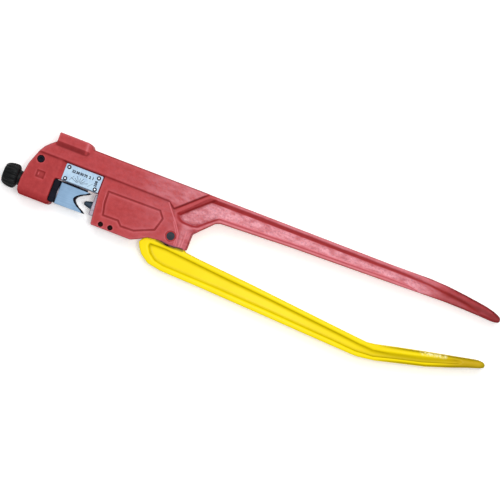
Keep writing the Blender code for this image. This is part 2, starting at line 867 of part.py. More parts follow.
def knob_ring(x, radius, depth):
    ring = []
    steps_round = FLUTES * 6
    for i in range(steps_round):
        a = 2.0 * math.pi * i / steps_round
        wave = 0.5 - 0.5 * math.cos(FLUTES * a)
        r = radius - depth * wave
        ring.append((x, r * math.cos(a), MID_Z + r * math.sin(a)))
    return ring


KNOB_STATIONS = [
    (-223.6, 9.6, 0.0),
    (-223.1, 11.2, 0.0),
    (-221.3, 12.9, 0.4),
    (-218.4, 14.2, 0.8),
    (-214.6, 15.2, 1.1),
    (-211.0, 15.5, 1.1),
    (-207.9, 15.4, 1.0),
    (-206.1, 14.5, 0.7),
    (-204.9, 12.8, 0.3),
    (-204.3, 11.2, 0.0),
    (-204.3, 9.5, 0.0),
    (-200.4, 9.5, 0.0),
]
knob = loft([knob_ring(*station) for station in KNOB_STATIONS])
cut(knob, rod("X", (0.0, MID_Z), -214.4, -199.0, 5.0 + CLEAR))
cut(knob, rod("X", (0.0, MID_Z), -226.0, -212.0, 2.0 + CLEAR, SMALL_SIDES))
cut(knob, rod("X", (0.0, MID_Z), -226.0, -219.0, 4.2 + CLEAR, SMALL_SIDES))
finish(knob, "knob", KNOB, (-210.0, 0.0, MID_Z))
spindle = turned(
    "X",
    (0.0, MID_Z),
    [
        (-214.0, 5.0),
        (-200.1, 5.0),
        (-200.1, 6.0),
        (-178.2, 6.0),
        (-178.2, 5.0),
        (-141.0, 5.0),
        (-140.0, 4.0),
    ],
)
cut(spindle, rod("X", (0.0, MID_Z), -216.0, -206.0, 2.0 + CLEAR, SMALL_SIDES))
finish(spindle, "spindle", DARK, (-180.0, 0.0, MID_Z))
collar = rod("X", (0.0, MID_Z), -177.8, -171.2, 9.6, SIDES, 0.4)
cut(collar, rod("X", (0.0, MID_Z), -180.0, -168.0, 5.0 + CLEAR))
finish(collar, "spindle_collar", STEEL, (-174.0, 0.0, MID_Z))
end_screw = turned(
    "X",
    (0.0, MID_Z),
    [(-222.6, 3.8), (-222.2, 4.2), (-219.4, 4.2), (-219.4, 2.0), (-206.6, 2.0)],
    SMALL_SIDES,
)
cut(end_screw, rod("X", (0.0, MID_Z), -224.0, -220.6, 2.0, 6))
finish(end_screw, "knob_screw", STEEL, (-215.0, 0.0, MID_Z))

# V-die with its shank, nut and guide key: these slide along X.
DIE_BACK = -150.7
V_UPPER = [(-129.5, 2.0), (-127.4, 4.6), (-122.9, 7.9), (-117.2, 10.6), (-113.8, 13.4)]
die_outline = [(DIE_BACK, -14.0), (-114.6, -14.0)]
die_outline += [(x, -y) for x, y in reversed(V_UPPER)]
die_outline += [(-130.2, 0.0)] + V_UPPER
die_outline += [(-114.6, 14.0), (DIE_BACK, 14.0)]
die = soften(slab(die_outline, 10.0), 0.5, 1)
join(die, rod("X", (0.0, MID_Z), -168.0, DIE_BACK + 2.0, 10.0))
join(die, block(DIE_BACK + 0.4, -117.6, 12.0, 15.6, MID_Z - 8.4, MID_Z + 8.4))
cut(die, rod("X", (0.0, MID_Z), -170.0, -138.0, 5.0 + CLEAR))
cut(die, rod("X", (0.0, MID_Z), -170.0, -156.4, 7.6 + CLEAR))
cut(die, block(-146.0, -127.2, 9.0, 17.0, MID_Z - 3.4, MID_Z + 3.4))
finish(die, "v_die", DIE, (-140.0, 0.0, MID_Z))
nut = rod("X", (0.0, MID_Z), -167.6, -156.8, 7.6)
cut(nut, rod("X", (0.0, MID_Z), -170.0, -150.0, 5.0 + CLEAR))
finish(nut, "die_nut", BRONZE, (-162.0, 0.0, MID_Z))
key = block(-145.6, -127.6, 9.4, 20.1, MID_Z - 3.0, MID_Z + 3.0)
finish(key, "die_key", STEEL, (-136.0, 14.0, MID_Z))

# Size plate and its four rivets.
px0, px1, py0, py1 = PLATE_BOX
plate = block(px0, px1, py0, py1, PLATE_Z, PLATE_Z + 1.0)
for x, y in RIVETS:
    cut(plate, rod("Z", (x, y), 30.0, 50.0, 1.1 + CLEAR, SMALL_SIDES))
finish(plate, "size_plate", PLATE, (-128.0, 27.5, MID_Z))
for number, (x, y) in enumerate(RIVETS, 1):
    rivet = turned(
        "Z",
        (x, y),
        [
            (30.4, 1.1),
            (PLATE_Z + 1.4, 1.1),
            (PLATE_Z + 1.4, 2.1),
            (PLATE_Z + 1.8, 1.9),
            (PLATE_Z + 2.1, 1.2),
        ],
        SMALL_SIDES,
    )
    finish(rivet, f"plate_rivet_{number}", STEEL, (x, y, MID_Z))
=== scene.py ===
"""Looks for the long-handled lug crimping tool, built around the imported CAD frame."""
import json
import math

import bmesh
import bpy
import numpy as np
from mathutils import Matrix, Vector


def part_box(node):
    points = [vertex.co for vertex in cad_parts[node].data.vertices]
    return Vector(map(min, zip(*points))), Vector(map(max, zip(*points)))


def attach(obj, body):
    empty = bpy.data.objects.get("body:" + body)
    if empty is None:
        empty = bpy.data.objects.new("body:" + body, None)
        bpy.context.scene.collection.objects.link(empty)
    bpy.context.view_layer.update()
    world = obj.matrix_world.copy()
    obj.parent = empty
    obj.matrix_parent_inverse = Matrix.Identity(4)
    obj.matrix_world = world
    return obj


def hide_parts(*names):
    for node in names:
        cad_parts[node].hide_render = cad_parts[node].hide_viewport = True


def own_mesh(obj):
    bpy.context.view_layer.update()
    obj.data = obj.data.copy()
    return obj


MM = 0.001
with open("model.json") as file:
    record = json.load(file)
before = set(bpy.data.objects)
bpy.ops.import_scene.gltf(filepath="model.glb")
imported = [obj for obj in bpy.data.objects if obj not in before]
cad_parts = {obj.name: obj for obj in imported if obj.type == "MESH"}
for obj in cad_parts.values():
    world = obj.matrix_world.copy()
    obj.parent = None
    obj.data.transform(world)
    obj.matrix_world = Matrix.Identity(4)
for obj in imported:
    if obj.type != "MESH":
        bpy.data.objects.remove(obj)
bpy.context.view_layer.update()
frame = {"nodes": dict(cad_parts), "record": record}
nodes = frame["nodes"]

# Everything is placed from the pivot pin, in millimetres: X along the tool, Y to the spine.
pin_low, pin_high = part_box("pivot_pin")
PIVOT = (Vector(pin_low) + Vector(pin_high)) / 2.0


def at(x, y, z=0.0):
    """A point given in millimetres from the pivot, with z from the middle plane."""
    return Vector((PIVOT.x + x * MM, PIVOT.y + y * MM, PIVOT.z + z * MM))


# ---------------------------------------------------------------- materials
RED_DARK, RED_LIGHT = (0.350, 0.021, 0.023), (0.420, 0.033, 0.035)
# Painted pink sheen: the light's reflection on the rough cast paint, from faint to full.
SHEEN_FAINT, SHEEN_FULL = (0.60, 0.15, 0.19), (0.86, 0.40, 0.47)
# Stained red, worn and lit red, and shaded red: real edge wear with painted highlights, and painted
# shade.
RED_STAIN, RED_WORN_AND_LIT, RED_SHADE = (0.30, 0.10, 0.16), (0.68, 0.18, 0.21), (0.15, 0.004, 0.005)
# Dark navy for painted shade in shaded gaps.
SHADE_NAVY = (0.010, 0.020, 0.050)
YELLOW_DARK, YELLOW_LIGHT = (0.84, 0.64, 0.0), (0.89, 0.70, 0.001)
YELLOW_WORN, YELLOW_SHADE = (0.95, 0.82, 0.02), (0.36, 0.27, 0.0)
# A darker amber-yellow for the painted shade towards the tip, and a pale yellow for the painted
# glint.
YELLOW_TIP_SHADE, GLINT_YELLOW = (0.44, 0.26, 0.010), (0.90, 0.84, 0.42)
# The Mix node's sockets when it mixes colours.
MIX_FACTOR, MIX_A, MIX_B, MIX_RESULT = 0, 6, 7, 2


def new_material(name):
    mat = bpy.data.materials.new(name)
    mat.use_nodes = True
    tree = mat.node_tree
    return mat, tree, tree.nodes["Principled BSDF"]


def node(tree, kind, **values):
    made = tree.nodes.new(kind)
    for key, value in values.items():
        setattr(made, key, value)
    return made


def feed(tree, source, socket):
    """Put a number, a colour or another node's output into a socket."""
    if isinstance(source, bpy.types.NodeSocket):
        tree.links.new(source, socket)
    elif isinstance(source, tuple):
        socket.default_value = (*source, 1.0)
    else:
        socket.default_value = source


def coords(tree, scale=(1.0, 1.0, 1.0)):
    where = node(tree, "ShaderNodeTexCoord")
    mapping = node(tree, "ShaderNodeMapping")
    mapping.inputs["Scale"].default_value = scale
    tree.links.new(where.outputs["Object"], mapping.inputs["Vector"])
    return mapping.outputs["Vector"]


def noise(tree, place, scale, detail=3.0, rough=0.55, distortion=0.0):
    made = node(tree, "ShaderNodeTexNoise")
    made.inputs["Scale"].default_value = scale
    made.inputs["Detail"].default_value = detail
    made.inputs["Roughness"].default_value = rough
    made.inputs["Distortion"].default_value = distortion
    tree.links.new(place, made.inputs["Vector"])
    return made.outputs["Fac"]


def ramp(tree, source, stops):
    made = node(tree, "ShaderNodeValToRGB")
    band = made.color_ramp
    while len(band.elements) < len(stops):
        band.elements.new(1.0)
    for element, (place, colour) in zip(band.elements, stops):
        element.position = place
        rgb = colour if isinstance(colour, tuple) else (colour, colour, colour)
        element.color = (*rgb, 1.0)
    tree.links.new(source, made.inputs["Fac"])
    return made.outputs["Color"]


def maths(tree, operation, a, b=0.0, clamp=False):
    made = node(tree, "ShaderNodeMath", operation=operation, use_clamp=clamp)
    feed(tree, a, made.inputs[0])
    feed(tree, b, made.inputs[1])
    return made.outputs[0]


def mixed(tree, factor, a, b):
    made = node(tree, "ShaderNodeMix", data_type="RGBA")
    feed(tree, factor, made.inputs[MIX_FACTOR])
    feed(tree, a, made.inputs[MIX_A])
    feed(tree, b, made.inputs[MIX_B])
    return made.outputs[MIX_RESULT]


def bump(tree, shader, height, strength, distance):
    made = node(tree, "ShaderNodeBump")
    made.inputs["Strength"].default_value = strength
    made.inputs["Distance"].default_value = distance
    tree.links.new(height, made.inputs["Height"])
    tree.links.new(made.outputs["Normal"], shader.inputs["Normal"])


def attribute(tree, name):
    return node(tree, "ShaderNodeAttribute", attribute_name=name).outputs["Fac"]


def edge_masks(tree, lightening, darkening):
    """How worn the paint is on edges, with painted highlights, and the painted shade in corners and
    on slopes, from the mesh.
    """
    wear_and_painted_light = attribute(tree, "wear_and_painted_light")
    inward = maths(tree, "MULTIPLY", wear_and_painted_light, -1.0)
    wear_and_highlight = maths(tree, "MULTIPLY", maths(tree, "MAXIMUM", wear_and_painted_light), lightening, True)
    painted_shade = maths(tree, "MULTIPLY", maths(tree, "MAXIMUM", inward), darkening, True)
    return wear_and_highlight, painted_shade


def red_paint():
    mat, tree, shader = new_material("red_cast_paint")
    place = coords(tree)
    cast_and_sheen = attribute(tree, "cast_and_sheen")
    wear_and_highlight, painted_shade = edge_masks(tree, lightening=0.6, darkening=0.7)
    broad = noise(tree, place, 16.0)
    pebble = noise(tree, place, 300.0, detail=2.0, rough=0.5, distortion=0.6)
    grit = noise(tree, place, 900.0, detail=2.0)
    smear = noise(tree, coords(tree, (1.0, 2.4, 1.0)), 70.0, rough=0.6)
    mottle = noise(tree, place, 170.0, detail=4.0, rough=0.7)
    colour = ramp(tree, mottle, [(0.36, RED_DARK), (0.64, RED_LIGHT)])
    # Patches of painted pink sheen where the rough cast surface would catch the light.
    sheen_patches = ramp(tree, smear, [(0.36, 0.35), (0.60, 1.0)])
    sheen_patches = maths(tree, "MULTIPLY", sheen_patches, maths(tree, "MULTIPLY", cast_and_sheen, 0.72))
    painted_sheen = mixed(tree, cast_and_sheen, SHEEN_FAINT, SHEEN_FULL)
    colour = mixed(tree, sheen_patches, colour, painted_sheen)
    stain = ramp(tree, noise(tree, place, 420.0, rough=0.6), [(0.50, 0.0), (0.60, 1.0)])
    stain = maths(tree, "MULTIPLY", stain, maths(tree, "MULTIPLY", cast_and_sheen, 0.42))
    colour = mixed(tree, stain, colour, RED_STAIN)
    # Worn edges and painted highlights lighten the paint; painted shade darkens corners and slopes.
    colour = mixed(tree, wear_and_highlight, colour, RED_WORN_AND_LIT)
    colour = mixed(tree, painted_shade, colour, RED_SHADE)
    # Painted shade in dark navy: the shaded gap over the die and the shadowed edge under the pivot.
    colour = mixed(tree, attribute(tree, "dark_shade"), colour, SHADE_NAVY)
    tree.links.new(colour, shader.inputs["Base Color"])
    smooth_gloss = ramp(tree, broad, [(0.3, 0.68), (0.7, 0.62)])
    cast_gloss = ramp(tree, smear, [(0.35, 0.36), (0.7, 0.24)])
    tree.links.new(mixed(tree, cast_and_sheen, smooth_gloss, cast_gloss), shader.inputs["Roughness"])
    rough_height = maths(tree, "ADD", pebble, maths(tree, "MULTIPLY", grit, 0.25))
    weight = maths(tree, "ADD", maths(tree, "MULTIPLY", cast_and_sheen, 0.95), 0.05)
    height = maths(tree, "MULTIPLY", rough_height, weight)
    bump(tree, shader, height, strength=1.0, distance=0.0010)
    shader.inputs["Specular IOR Level"].default_value = 0.28
    return mat


def yellow_paint():
    mat, tree, shader = new_material("yellow_enamel")
    place = coords(tree)
    wear_and_highlight, painted_shade = edge_masks(tree, lightening=0.3, darkening=0.95)
    broad = noise(tree, place, 20.0)
    peel = noise(tree, place, 210.0, detail=2.0)
    colour = ramp(tree, broad, [(0.3, YELLOW_DARK), (0.7, YELLOW_LIGHT)])
    colour = mixed(tree, wear_and_highlight, colour, YELLOW_WORN)
    # Painted shade towards the tip, in a darker amber-yellow.
    colour = mixed(tree, attribute(tree, "tip_shade"), colour, YELLOW_TIP_SHADE)
    # Painted shade in corners, on slopes and along the grip's edges.
    colour = mixed(tree, painted_shade, colour, YELLOW_SHADE)
    # Painted glint: a pale, stippled streak on the grip.
    stipple = ramp(tree, noise(tree, place, 330.0, rough=0.6), [(0.42, 0.1), (0.60, 1.0)])
    painted_glint = maths(tree, "MULTIPLY", attribute(tree, "painted_glint"), stipple)
    colour = mixed(tree, painted_glint, colour, GLINT_YELLOW)
    tree.links.new(colour, shader.inputs["Base Color"])
    tree.links.new(ramp(tree, broad, [(0.3, 0.62), (0.7, 0.54)]), shader.inputs["Roughness"])
    bump(tree, shader, peel, strength=0.5, distance=0.0004)
    shader.inputs["Specular IOR Level"].default_value = 0.07
    shader.inputs["Coat Weight"].default_value = 0.07
    shader.inputs["Coat Roughness"].default_value = 0.24
    return mat


def steel(
    name, dark, light, smooth, rough, grain=(30.0, 900.0, 900.0), metallic=1.0, clouds=70.0, gloss=0.5
):
    """Ground or blackened metal: fine grain along one direction, over soft clouds."""
    mat, tree, shader = new_material(name)
    fine = noise(tree, coords(tree, grain), 1.0, rough=0.6)
    cloud = noise(tree, coords(tree), clouds)
    total = maths(tree, "MULTIPLY", maths(tree, "ADD", fine, cloud), 0.5)
    colour = ramp(tree, total, [(0.35, dark), (0.65, light)])
    tree.links.new(colour, shader.inputs["Base Color"])
    tree.links.new(ramp(tree, total, [(0.35, rough), (0.65, smooth)]), shader.inputs["Roughness"])
    bump(tree, shader, fine, strength=0.2, distance=0.0001)
    shader.inputs["Metallic"].default_value = metallic
    shader.inputs["Specular IOR Level"].default_value = gloss
    return mat


def moulded(name, dark, light, smooth, rough, gloss=0.25):
    """Moulded plastic or dried ink: a fine leathery grain."""
    mat, tree, shader = new_material(name)
    fine = noise(tree, coords(tree), 1500.0, detail=2.0)
    broad = noise(tree, coords(tree), 90.0)
    tree.links.new(ramp(tree, broad, [(0.3, dark), (0.7, light)]), shader.inputs["Base Color"])
    tree.links.new(ramp(tree, broad, [(0.3, smooth), (0.7, rough)]), shader.inputs["Roughness"])
    bump(tree, shader, fine, strength=0.25, distance=0.0002)
    shader.inputs["Specular IOR Level"].default_value = gloss
    return mat


RED = red_paint()
YELLOW = yellow_paint()
KNOB = moulded(
    "knob_black", (0.003, 0.0035, 0.004), (0.006, 0.007, 0.008),
    smooth=0.46, rough=0.6, gloss=0.16,
)
BLACK = steel(
    "black_oxide", (0.003, 0.003, 0.007), (0.007, 0.007, 0.016),
    smooth=0.5, rough=0.65, metallic=0.0, gloss=0.08,
)
# Near-black red for pins and washers, so that they read as holes in shade: painted shade.
SHADED_HOLE = steel(
    "shadowed_hole", (0.006, 0.001, 0.001), (0.016, 0.003, 0.003),
    smooth=0.6, rough=0.8, metallic=0.0, gloss=0.1,
)
PIN = steel(
    "pivot_slate", (0.012, 0.015, 0.024), (0.028, 0.032, 0.044),
    smooth=0.5, rough=0.65, metallic=0.0, gloss=0.2,
)
DARK = steel(
    "hardened_steel", (0.035, 0.060, 0.095), (0.075, 0.115, 0.165),
    smooth=0.35, rough=0.5, metallic=0.6,
)
# Die steel; its blue tone is a painted reflection of a pale-blue surrounding.
DIE = steel(
    "die_steel", (0.17, 0.29, 0.44), (0.23, 0.37, 0.54), smooth=0.5, rough=0.6, metallic=0.25,
)
# Ground steel; its pinkish tint is a painted reflection of the red casting.
STEEL = steel(
    "ground_steel", (0.20, 0.175, 0.21), (0.33, 0.29, 0.35), smooth=0.4, rough=0.55, metallic=0.4,
)
WIRE = steel("spring_wire", (0.35, 0.37, 0.40), (0.5, 0.52, 0.55), smooth=0.3, rough=0.4)
BRONZE = steel("bearing_bronze", (0.45, 0.26, 0.09), (0.62, 0.4, 0.16), smooth=0.3, rough=0.45)
PLATE = steel(
    "plate_aluminium", (0.32, 0.46, 0.64), (0.44, 0.60, 0.72), smooth=0.5, rough=0.6,
    grain=(700.0, 60.0, 700.0), metallic=0.1, clouds=110.0,
)
RIVET = steel(
    "rivet_bright", (0.62, 0.68, 0.78), (0.80, 0.85, 0.92), smooth=0.45, rough=0.6, metallic=0.1,
)
INK = moulded("plate_ink", (0.006, 0.008, 0.022), (0.012, 0.016, 0.036), smooth=0.6, rough=0.7)

BY_SLOT = {
    "red_paint": RED,
    "yellow_paint": YELLOW,
    "black_oxide": BLACK,
    "knob_plastic": KNOB,
    "die_steel": DIE,
    "dark_steel": DARK,
    "bright_steel": STEEL,
    "spring_steel": WIRE,
    "bronze": BRONZE,
    "plate_aluminium": PLATE,
}
node_slot = {s["node"]: s["material_slot"] for s in frame["record"]["subparts"]}
for name, obj in nodes.items():
    obj.data.materials.clear()
    obj.data.materials.append(BY_SLOT[node_slot[name]])
# Pins and washers coloured as holes in shade: painted shade.
SHADOWED_PINS = (
    "keeper_pin_1", "keeper_pin_2", "pivot_grub_screw", "thrust_washer_front",
    "thrust_washer_back",
)
RIVETS = [f"plate_rivet_{i}" for i in range(1, 5)]
for name in SHADOWED_PINS:
    nodes[name].data.materials[0] = SHADED_HOLE
for name in RIVETS:
    nodes[name].data.materials[0] = RIVET
nodes["pivot_pin"].data.materials[0] = PIN


# ---------------------------------------------------------------- mesh helpers
VOXEL, SMOOTHING = 0.8, 0.5
EDGE_ROUNDS, EDGE_GAIN = 7, 1700.0
ON_AXIS = (0.0, 0.0)
ALL_SMOOTH = 180.0


def link_object(name, mesh):
    obj = bpy.data.objects.new(name, mesh)
    bpy.context.scene.collection.objects.link(obj)
    return obj


def bake(obj):
    """Apply all modifiers."""
    graph = bpy.context.evaluated_depsgraph_get()
    mesh = bpy.data.meshes.new_from_object(obj.evaluated_get(graph))
    obj.modifiers.clear()
    obj.data = mesh
    return obj


def shade(obj, angle):
    """Smooth shading that keeps edges sharper than an angle."""
    for polygon in obj.data.polygons:
        polygon.use_smooth = True
    obj.data.set_sharp_from_angle(angle=math.radians(angle))
    return obj


def mesh_object(name, bm, smooth_angle=None):
    bmesh.ops.recalc_face_normals(bm, faces=bm.faces)
    mesh = bpy.data.meshes.new(name)
    bm.to_mesh(mesh)
    bm.free()
    obj = link_object(name, mesh)
    if smooth_angle is not None:
        shade(obj, smooth_angle)
    return obj


def skin(bm, rings):
    """Faces between equal rings of vertices, with a cap at each end."""
    for row, after in zip(rings, rings[1:]):
        for i in range(len(row)):
            j = (i + 1) % len(row)
            bm.faces.new((row[i], row[j], after[j], after[i]))
    bm.faces.new(rings[0])
    bm.faces.new(rings[-1])


def prism(name, outline, z_low, z_high):
    """An outline in the plane of the tool, extruded between two heights."""
    bm = bmesh.new()
    skin(bm, [[bm.verts.new(at(x, y, z)) for x, y in outline] for z in (z_low, z_high)])
    return mesh_object(name, bm)


def turned(name, axis, centre, stations, sides=48, wave=None, smooth_angle=35.0):
    """A solid turned about X or Z; stations are (along, radius); wave changes the radius."""
    bm = bmesh.new()
    rings = []
    for along, radius in stations:
        ring = []
        for i in range(sides):
            a = 2.0 * math.pi * i / sides
            r = radius if wave is None else wave(radius, a)
            p, q = centre[0] + r * math.cos(a), centre[1] + r * math.sin(a)
            place = (along, p, q) if axis == "X" else (p, q, along)
            ring.append(bm.verts.new(at(*place)))
        rings.append(ring)
    skin(bm, rings)
    return mesh_object(name, bm, smooth_angle)


def modify(obj, kind, **values):
    step = obj.modifiers.new(kind.lower(), kind)
    for key, value in values.items():
        setattr(step, key, value)
    return obj


def soft_edges(obj, width, angle=40.0):
    return modify(
        obj, "BEVEL", width=width * MM, segments=2, limit_method="ANGLE",
        angle_limit=math.radians(angle),
    )


def points_of(mesh):
    co = np.empty(len(mesh.vertices) * 3, np.float64)
    mesh.vertices.foreach_get("co", co)
    return co.reshape(-1, 3)


def normals_of(mesh):
    no = np.empty(len(mesh.vertices) * 3, np.float64)
    mesh.vertex_normals.foreach_get("vector", no)
    return no.reshape(-1, 3)


def local(mesh):
    """Vertex places in millimetres from the pivot and the middle plane."""
    return (points_of(mesh) - np.array(PIVOT)) / MM


def store(mesh, name, values):
    """Keep a value at each vertex, for a material to read."""
    layer = mesh.attributes.get(name) or mesh.attributes.new(name, "FLOAT", "POINT")
    layer.data.foreach_set("value", values.astype(np.float32))


def remesh(obj, rounds):
    """Turn a faceted solid into an even, slightly softened skin."""
    modify(obj, "REMESH", mode="VOXEL", voxel_size=VOXEL * MM, use_smooth_shade=True)
    modify(obj, "SMOOTH", factor=SMOOTHING, iterations=rounds)
    return bake(obj)


def smooth_where(obj, weights, rounds):
    """Soften only where the weights say, in eighths."""
    group = obj.vertex_groups.new(name="soft")
    levels = np.clip(np.round(weights * 8), 0, 8).astype(int)
    for level in range(1, 9):
        chosen = np.nonzero(levels == level)[0].tolist()
        if chosen:
            group.add(chosen, level / 8.0, "REPLACE")
    modify(obj, "SMOOTH", factor=SMOOTHING, iterations=rounds, vertex_group="soft")
    bake(obj)
    obj.vertex_groups.clear()
    return obj


def edge_field(mesh):
    """Positive on convex edges, negative in corners: offset from the smoothed surface."""
    co = points_of(mesh)
    ends = np.empty(len(mesh.edges) * 2, np.int64)
    mesh.edges.foreach_get("vertices", ends)
    ends = ends.reshape(-1, 2)
    both = np.concatenate([ends[:, 0], ends[:, 1]])
    other = np.concatenate([ends[:, 1], ends[:, 0]])
    count = np.maximum(np.bincount(both, minlength=len(co)), 1)[:, None]
    flat = co.copy()
    for _ in range(EDGE_ROUNDS):
        total = [np.bincount(both, weights=flat[other, k], minlength=len(co)) for k in range(3)]
        flat = np.stack(total, axis=1) / count
    value = ((co - flat) * normals_of(mesh)).sum(1) * EDGE_GAIN
    return np.clip(value, -1.0, 1.0)


def line_distance(x, y, path):
    """Distance in the plane from points to an open path."""
    best = np.full(len(x), 1e9)
    for (ax, ay), (bx, by) in zip(path, path[1:]):
        ux, uy = bx - ax, by - ay
        t = np.clip(((x - ax) * ux + (y - ay) * uy) / (ux * ux + uy * uy), 0.0, 1.0)
        best = np.minimum(best, np.hypot(x - ax - t * ux, y - ay - t * uy))
    return best


def ridge(x, y, path, width):
    """A rounded ridge profile: one on the line, nothing beyond the width."""
    reach = np.clip(line_distance(x, y, path) / width, 0.0, 1.0)
    return 0.5 + 0.5 * np.cos(np.pi * reach)


def ease(value, start, end):
    """Nothing before the start, one after the end, smooth between."""
    t = np.clip((value - start) / (end - start), 0.0, 1.0)
    return t * t * (3.0 - 2.0 * t)


def fade(value, start, end):
    """One before the start, nothing after the end, smooth between."""
    return ease(-value, -end, -start)


def roll(distance, reach, power):
    """A rounded edge: nothing at the start, one from the reach on."""
    return np.clip(distance / reach, 0.0, 1.0) ** power


def blend(values, target, mask):
    return values + (target - values) * mask


def lower_faces(mesh, drop):
    """Move front and back faces towards the middle plane by a drop in millimetres."""
    co = points_of(mesh)
    facing = ease(np.abs(normals_of(mesh)[:, 2]), 0.35, 0.8)
    co[:, 2] -= np.sign(co[:, 2] - PIVOT.z) * drop * facing * MM
    mesh.vertices.foreach_set("co", co.ravel())
    mesh.update()


def swell(mesh, along, up):
    """Move vertices in the plane of the tool, in millimetres."""
    co = points_of(mesh)
    co[:, 0] += along * MM
    co[:, 1] += up * MM
    mesh.vertices.foreach_set("co", co.ravel())
    mesh.update()


def copy_of(name, new_name):
    """A detailed piece starts as a copy of its CAD node."""
    return link_object(new_name, nodes[name].data.copy())


def put_on(obj, material, body, *replaced, slot=None):
    """Give a piece its material, the nodes it replaces, and its body; the slot argument is not used.
    """
    obj.data.materials.clear()
    obj.data.materials.append(material)
    if replaced:
        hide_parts(*replaced)
    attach(obj, body)
    return obj


def thin_out(obj, triangles):
    """Thin the mesh to about this many triangles."""
    count = sum(len(p.vertices) - 2 for p in obj.data.polygons)
    if count > triangles:
        modify(obj, "DECIMATE", ratio=triangles / count, use_collapse_triangulate=True)
        bake(obj)
    return obj


def fill_hole(obj, x, y, radius, low, high, sides=24):
    """Close a pin's hole at both faces, as paint does over a flush pin."""
    bm = bmesh.new()
    bm.from_mesh(obj.data)
    turns = [2.0 * math.pi * i / sides for i in range(sides)]
    outline = [(x + radius * math.cos(a), y + radius * math.sin(a)) for a in turns]
    for way in (-1.0, 1.0):
        skin(bm, [[bm.verts.new(at(px, py, way * z)) for px, py in outline] for z in (low, high)])
    bmesh.ops.recalc_face_normals(bm, faces=bm.faces)
    bm.to_mesh(obj.data)
    bm.free()


def across_grip(x, y, top, bottom):
    """Minus one at a handle's lower edge, one at its upper edge."""
    high = np.interp(x, [p[0] for p in top], [p[1] for p in top])
    low = np.interp(x, [p[0] for p in bottom], [p[1] for p in bottom])
    return np.clip((2.0 * y - high - low) / (high - low), -1.0, 1.0)


def round_grip(x, y, z, top, bottom, start, full, depth, floor, rim):
    """The drop that turns a flat handle into a rounded grip towards its tip."""
    across = across_grip(x, y, top, bottom)
    bow = 1.0 - np.sqrt(1.0 - 0.94 * across**2)
    proud = np.clip((np.abs(z) - floor) / (rim - floor), 0.0, 1.0)
    return ease(x, start, full) * depth * bow * proud


# ---------------------------------------------------------------- red casting
# Lines on the casting's faces, as seen from the front.
PANEL = [
    (-91.5, 23.8), (-23.3, 24.9), (-16.9, 16.5), (-18.6, 9.7), (-21.5, 0.0), (-45.6, -10.4),
    (-62.4, -11.0), (-68.0, -5.6), (-87.8, -6.1), (-90.9, 8.4), (-91.5, 23.8),
]
PANEL_LIP = [(-89.3, -4.0), (-92.9, 8.4), (-93.3, 18.0)]
HOUSING_LIP = [(-16.6, 38.2), (-8.8, 28.2), (0.4, 16.9), (7.8, 6.0), (9.9, -8.0)]
INNER_LIP = [(-3.0, 18.0), (3.6, 8.0), (6.6, -1.0), (7.4, -8.0)]
EAR_RIDGE = [(16.4, 12.0), (17.0, 0.0), (16.8, -9.0)]
SMALL_RIDGE = [(13.4, 3.0), (13.8, -9.0)]
PIVOT_EDGE = [(-9.0, -10.4), (0.6, -11.7), (10.6, -11.3), (19.0, -10.3)]
SPINE_STEP = [(-188.0, 40.6), (-17.4, 40.6), (-7.9, 33.4)]
PAD_SHINE = [(-135.2, 69.0), (-134.2, 57.0)]

# The panel's groove, and lines that stand out of the face: each with its width and height.
PANEL_WIDTH, PANEL_DEPTH = 1.7, 1.1
HOUSING_RIDGES = ((PANEL_LIP, 1.1, 0.40), (HOUSING_LIP, 1.0, 0.45), (INNER_LIP, 0.9, 0.22))
EAR_RIDGES = ((EAR_RIDGE, 1.2, 0.45), (SMALL_RIDGE, 0.9, 0.25))
# Lines of painted light: each with its width, and plus for a painted highlight, minus for painted
# shade.
HOUSING_LIGHT_LINES = ((PANEL, PANEL_WIDTH, -0.5), (HOUSING_LIP, 1.3, 1.6), (INNER_LIP, 1.0, 1.1))
FACE_LIGHT_LINES = ((SPINE_STEP, 2.2, -0.45), (EAR_RIDGE, 1.2, 1.6), (SMALL_RIDGE, 1.0, 1.2))

# The small square stamp on the head, with a pillow left of its middle.
STAMP_X, STAMP_Y, STAMP_DEPTH = -178.4, 13.6, 1.1
STAMP_HALF_X, STAMP_HALF_Y = 6.0, 5.2
PILLOW_X, PILLOW_HALF_X, PILLOW_HALF_Y, PILLOW_HEIGHT = STAMP_X - 2.6, 1.9, 3.9, 1.3

# The housing's face, and the rounded-off edges of head and ear: start, reach and depth.
HOUSING_Z, HOUSING_END, HOUSING_TOP = 15.5, 13.0, 41.0
HEAD_END, HEAD_ROLL_Y, HEAD_ROLL_REACH, HEAD_ROLL_DEPTH = -157.0, -8.4, 10.4, 3.6
EAR_Z, EAR_ROLL_X, EAR_ROLL_REACH, EAR_ROLL_DEPTH = 14.5, 17.4, 7.0, 2.6

# The rim that runs slantwise from the spine to the ear, beside the housing, and the lines of painted
# shade on both its sides: place across the rim, and half width.
SLANT, SLANT_Y = 1.08, 33.2
SLANT_LENGTH = math.hypot(1.0, SLANT)
NEAR_LINE, NEAR_LINE_HALF = -5.6, 1.8
FAR_LINE, FAR_LINE_HALF = 4.3, 2.0

# The red handle: its edges near the tip, and its half thickness, which tapers.
RED_TOP = [
    (250.0, 65.9), (322.0, 67.0), (347.0, 65.8), (372.0, 63.2), (396.0, 58.4), (419.0, 50.0),
]
RED_BOTTOM = [(250.0, 43.4), (347.0, 46.3), (372.0, 46.0), (411.0, 44.4), (419.0, 46.0)]
CREST_START, CREST_END = (-127.0, 65.5), 340.0
RIM_X, RIM_LENGTH, RIM_HEIGHT, RIM_TAPER = 30.0, 388.0, 16.4, 4.4
# Its rounded grip, as on the yellow handle: start, where it is complete, drop, and from where.
GRIP_START, GRIP_FULL, GRIP_DEPTH, GRIP_FLOOR = 240.0, 375.0, 6.5, 8.6
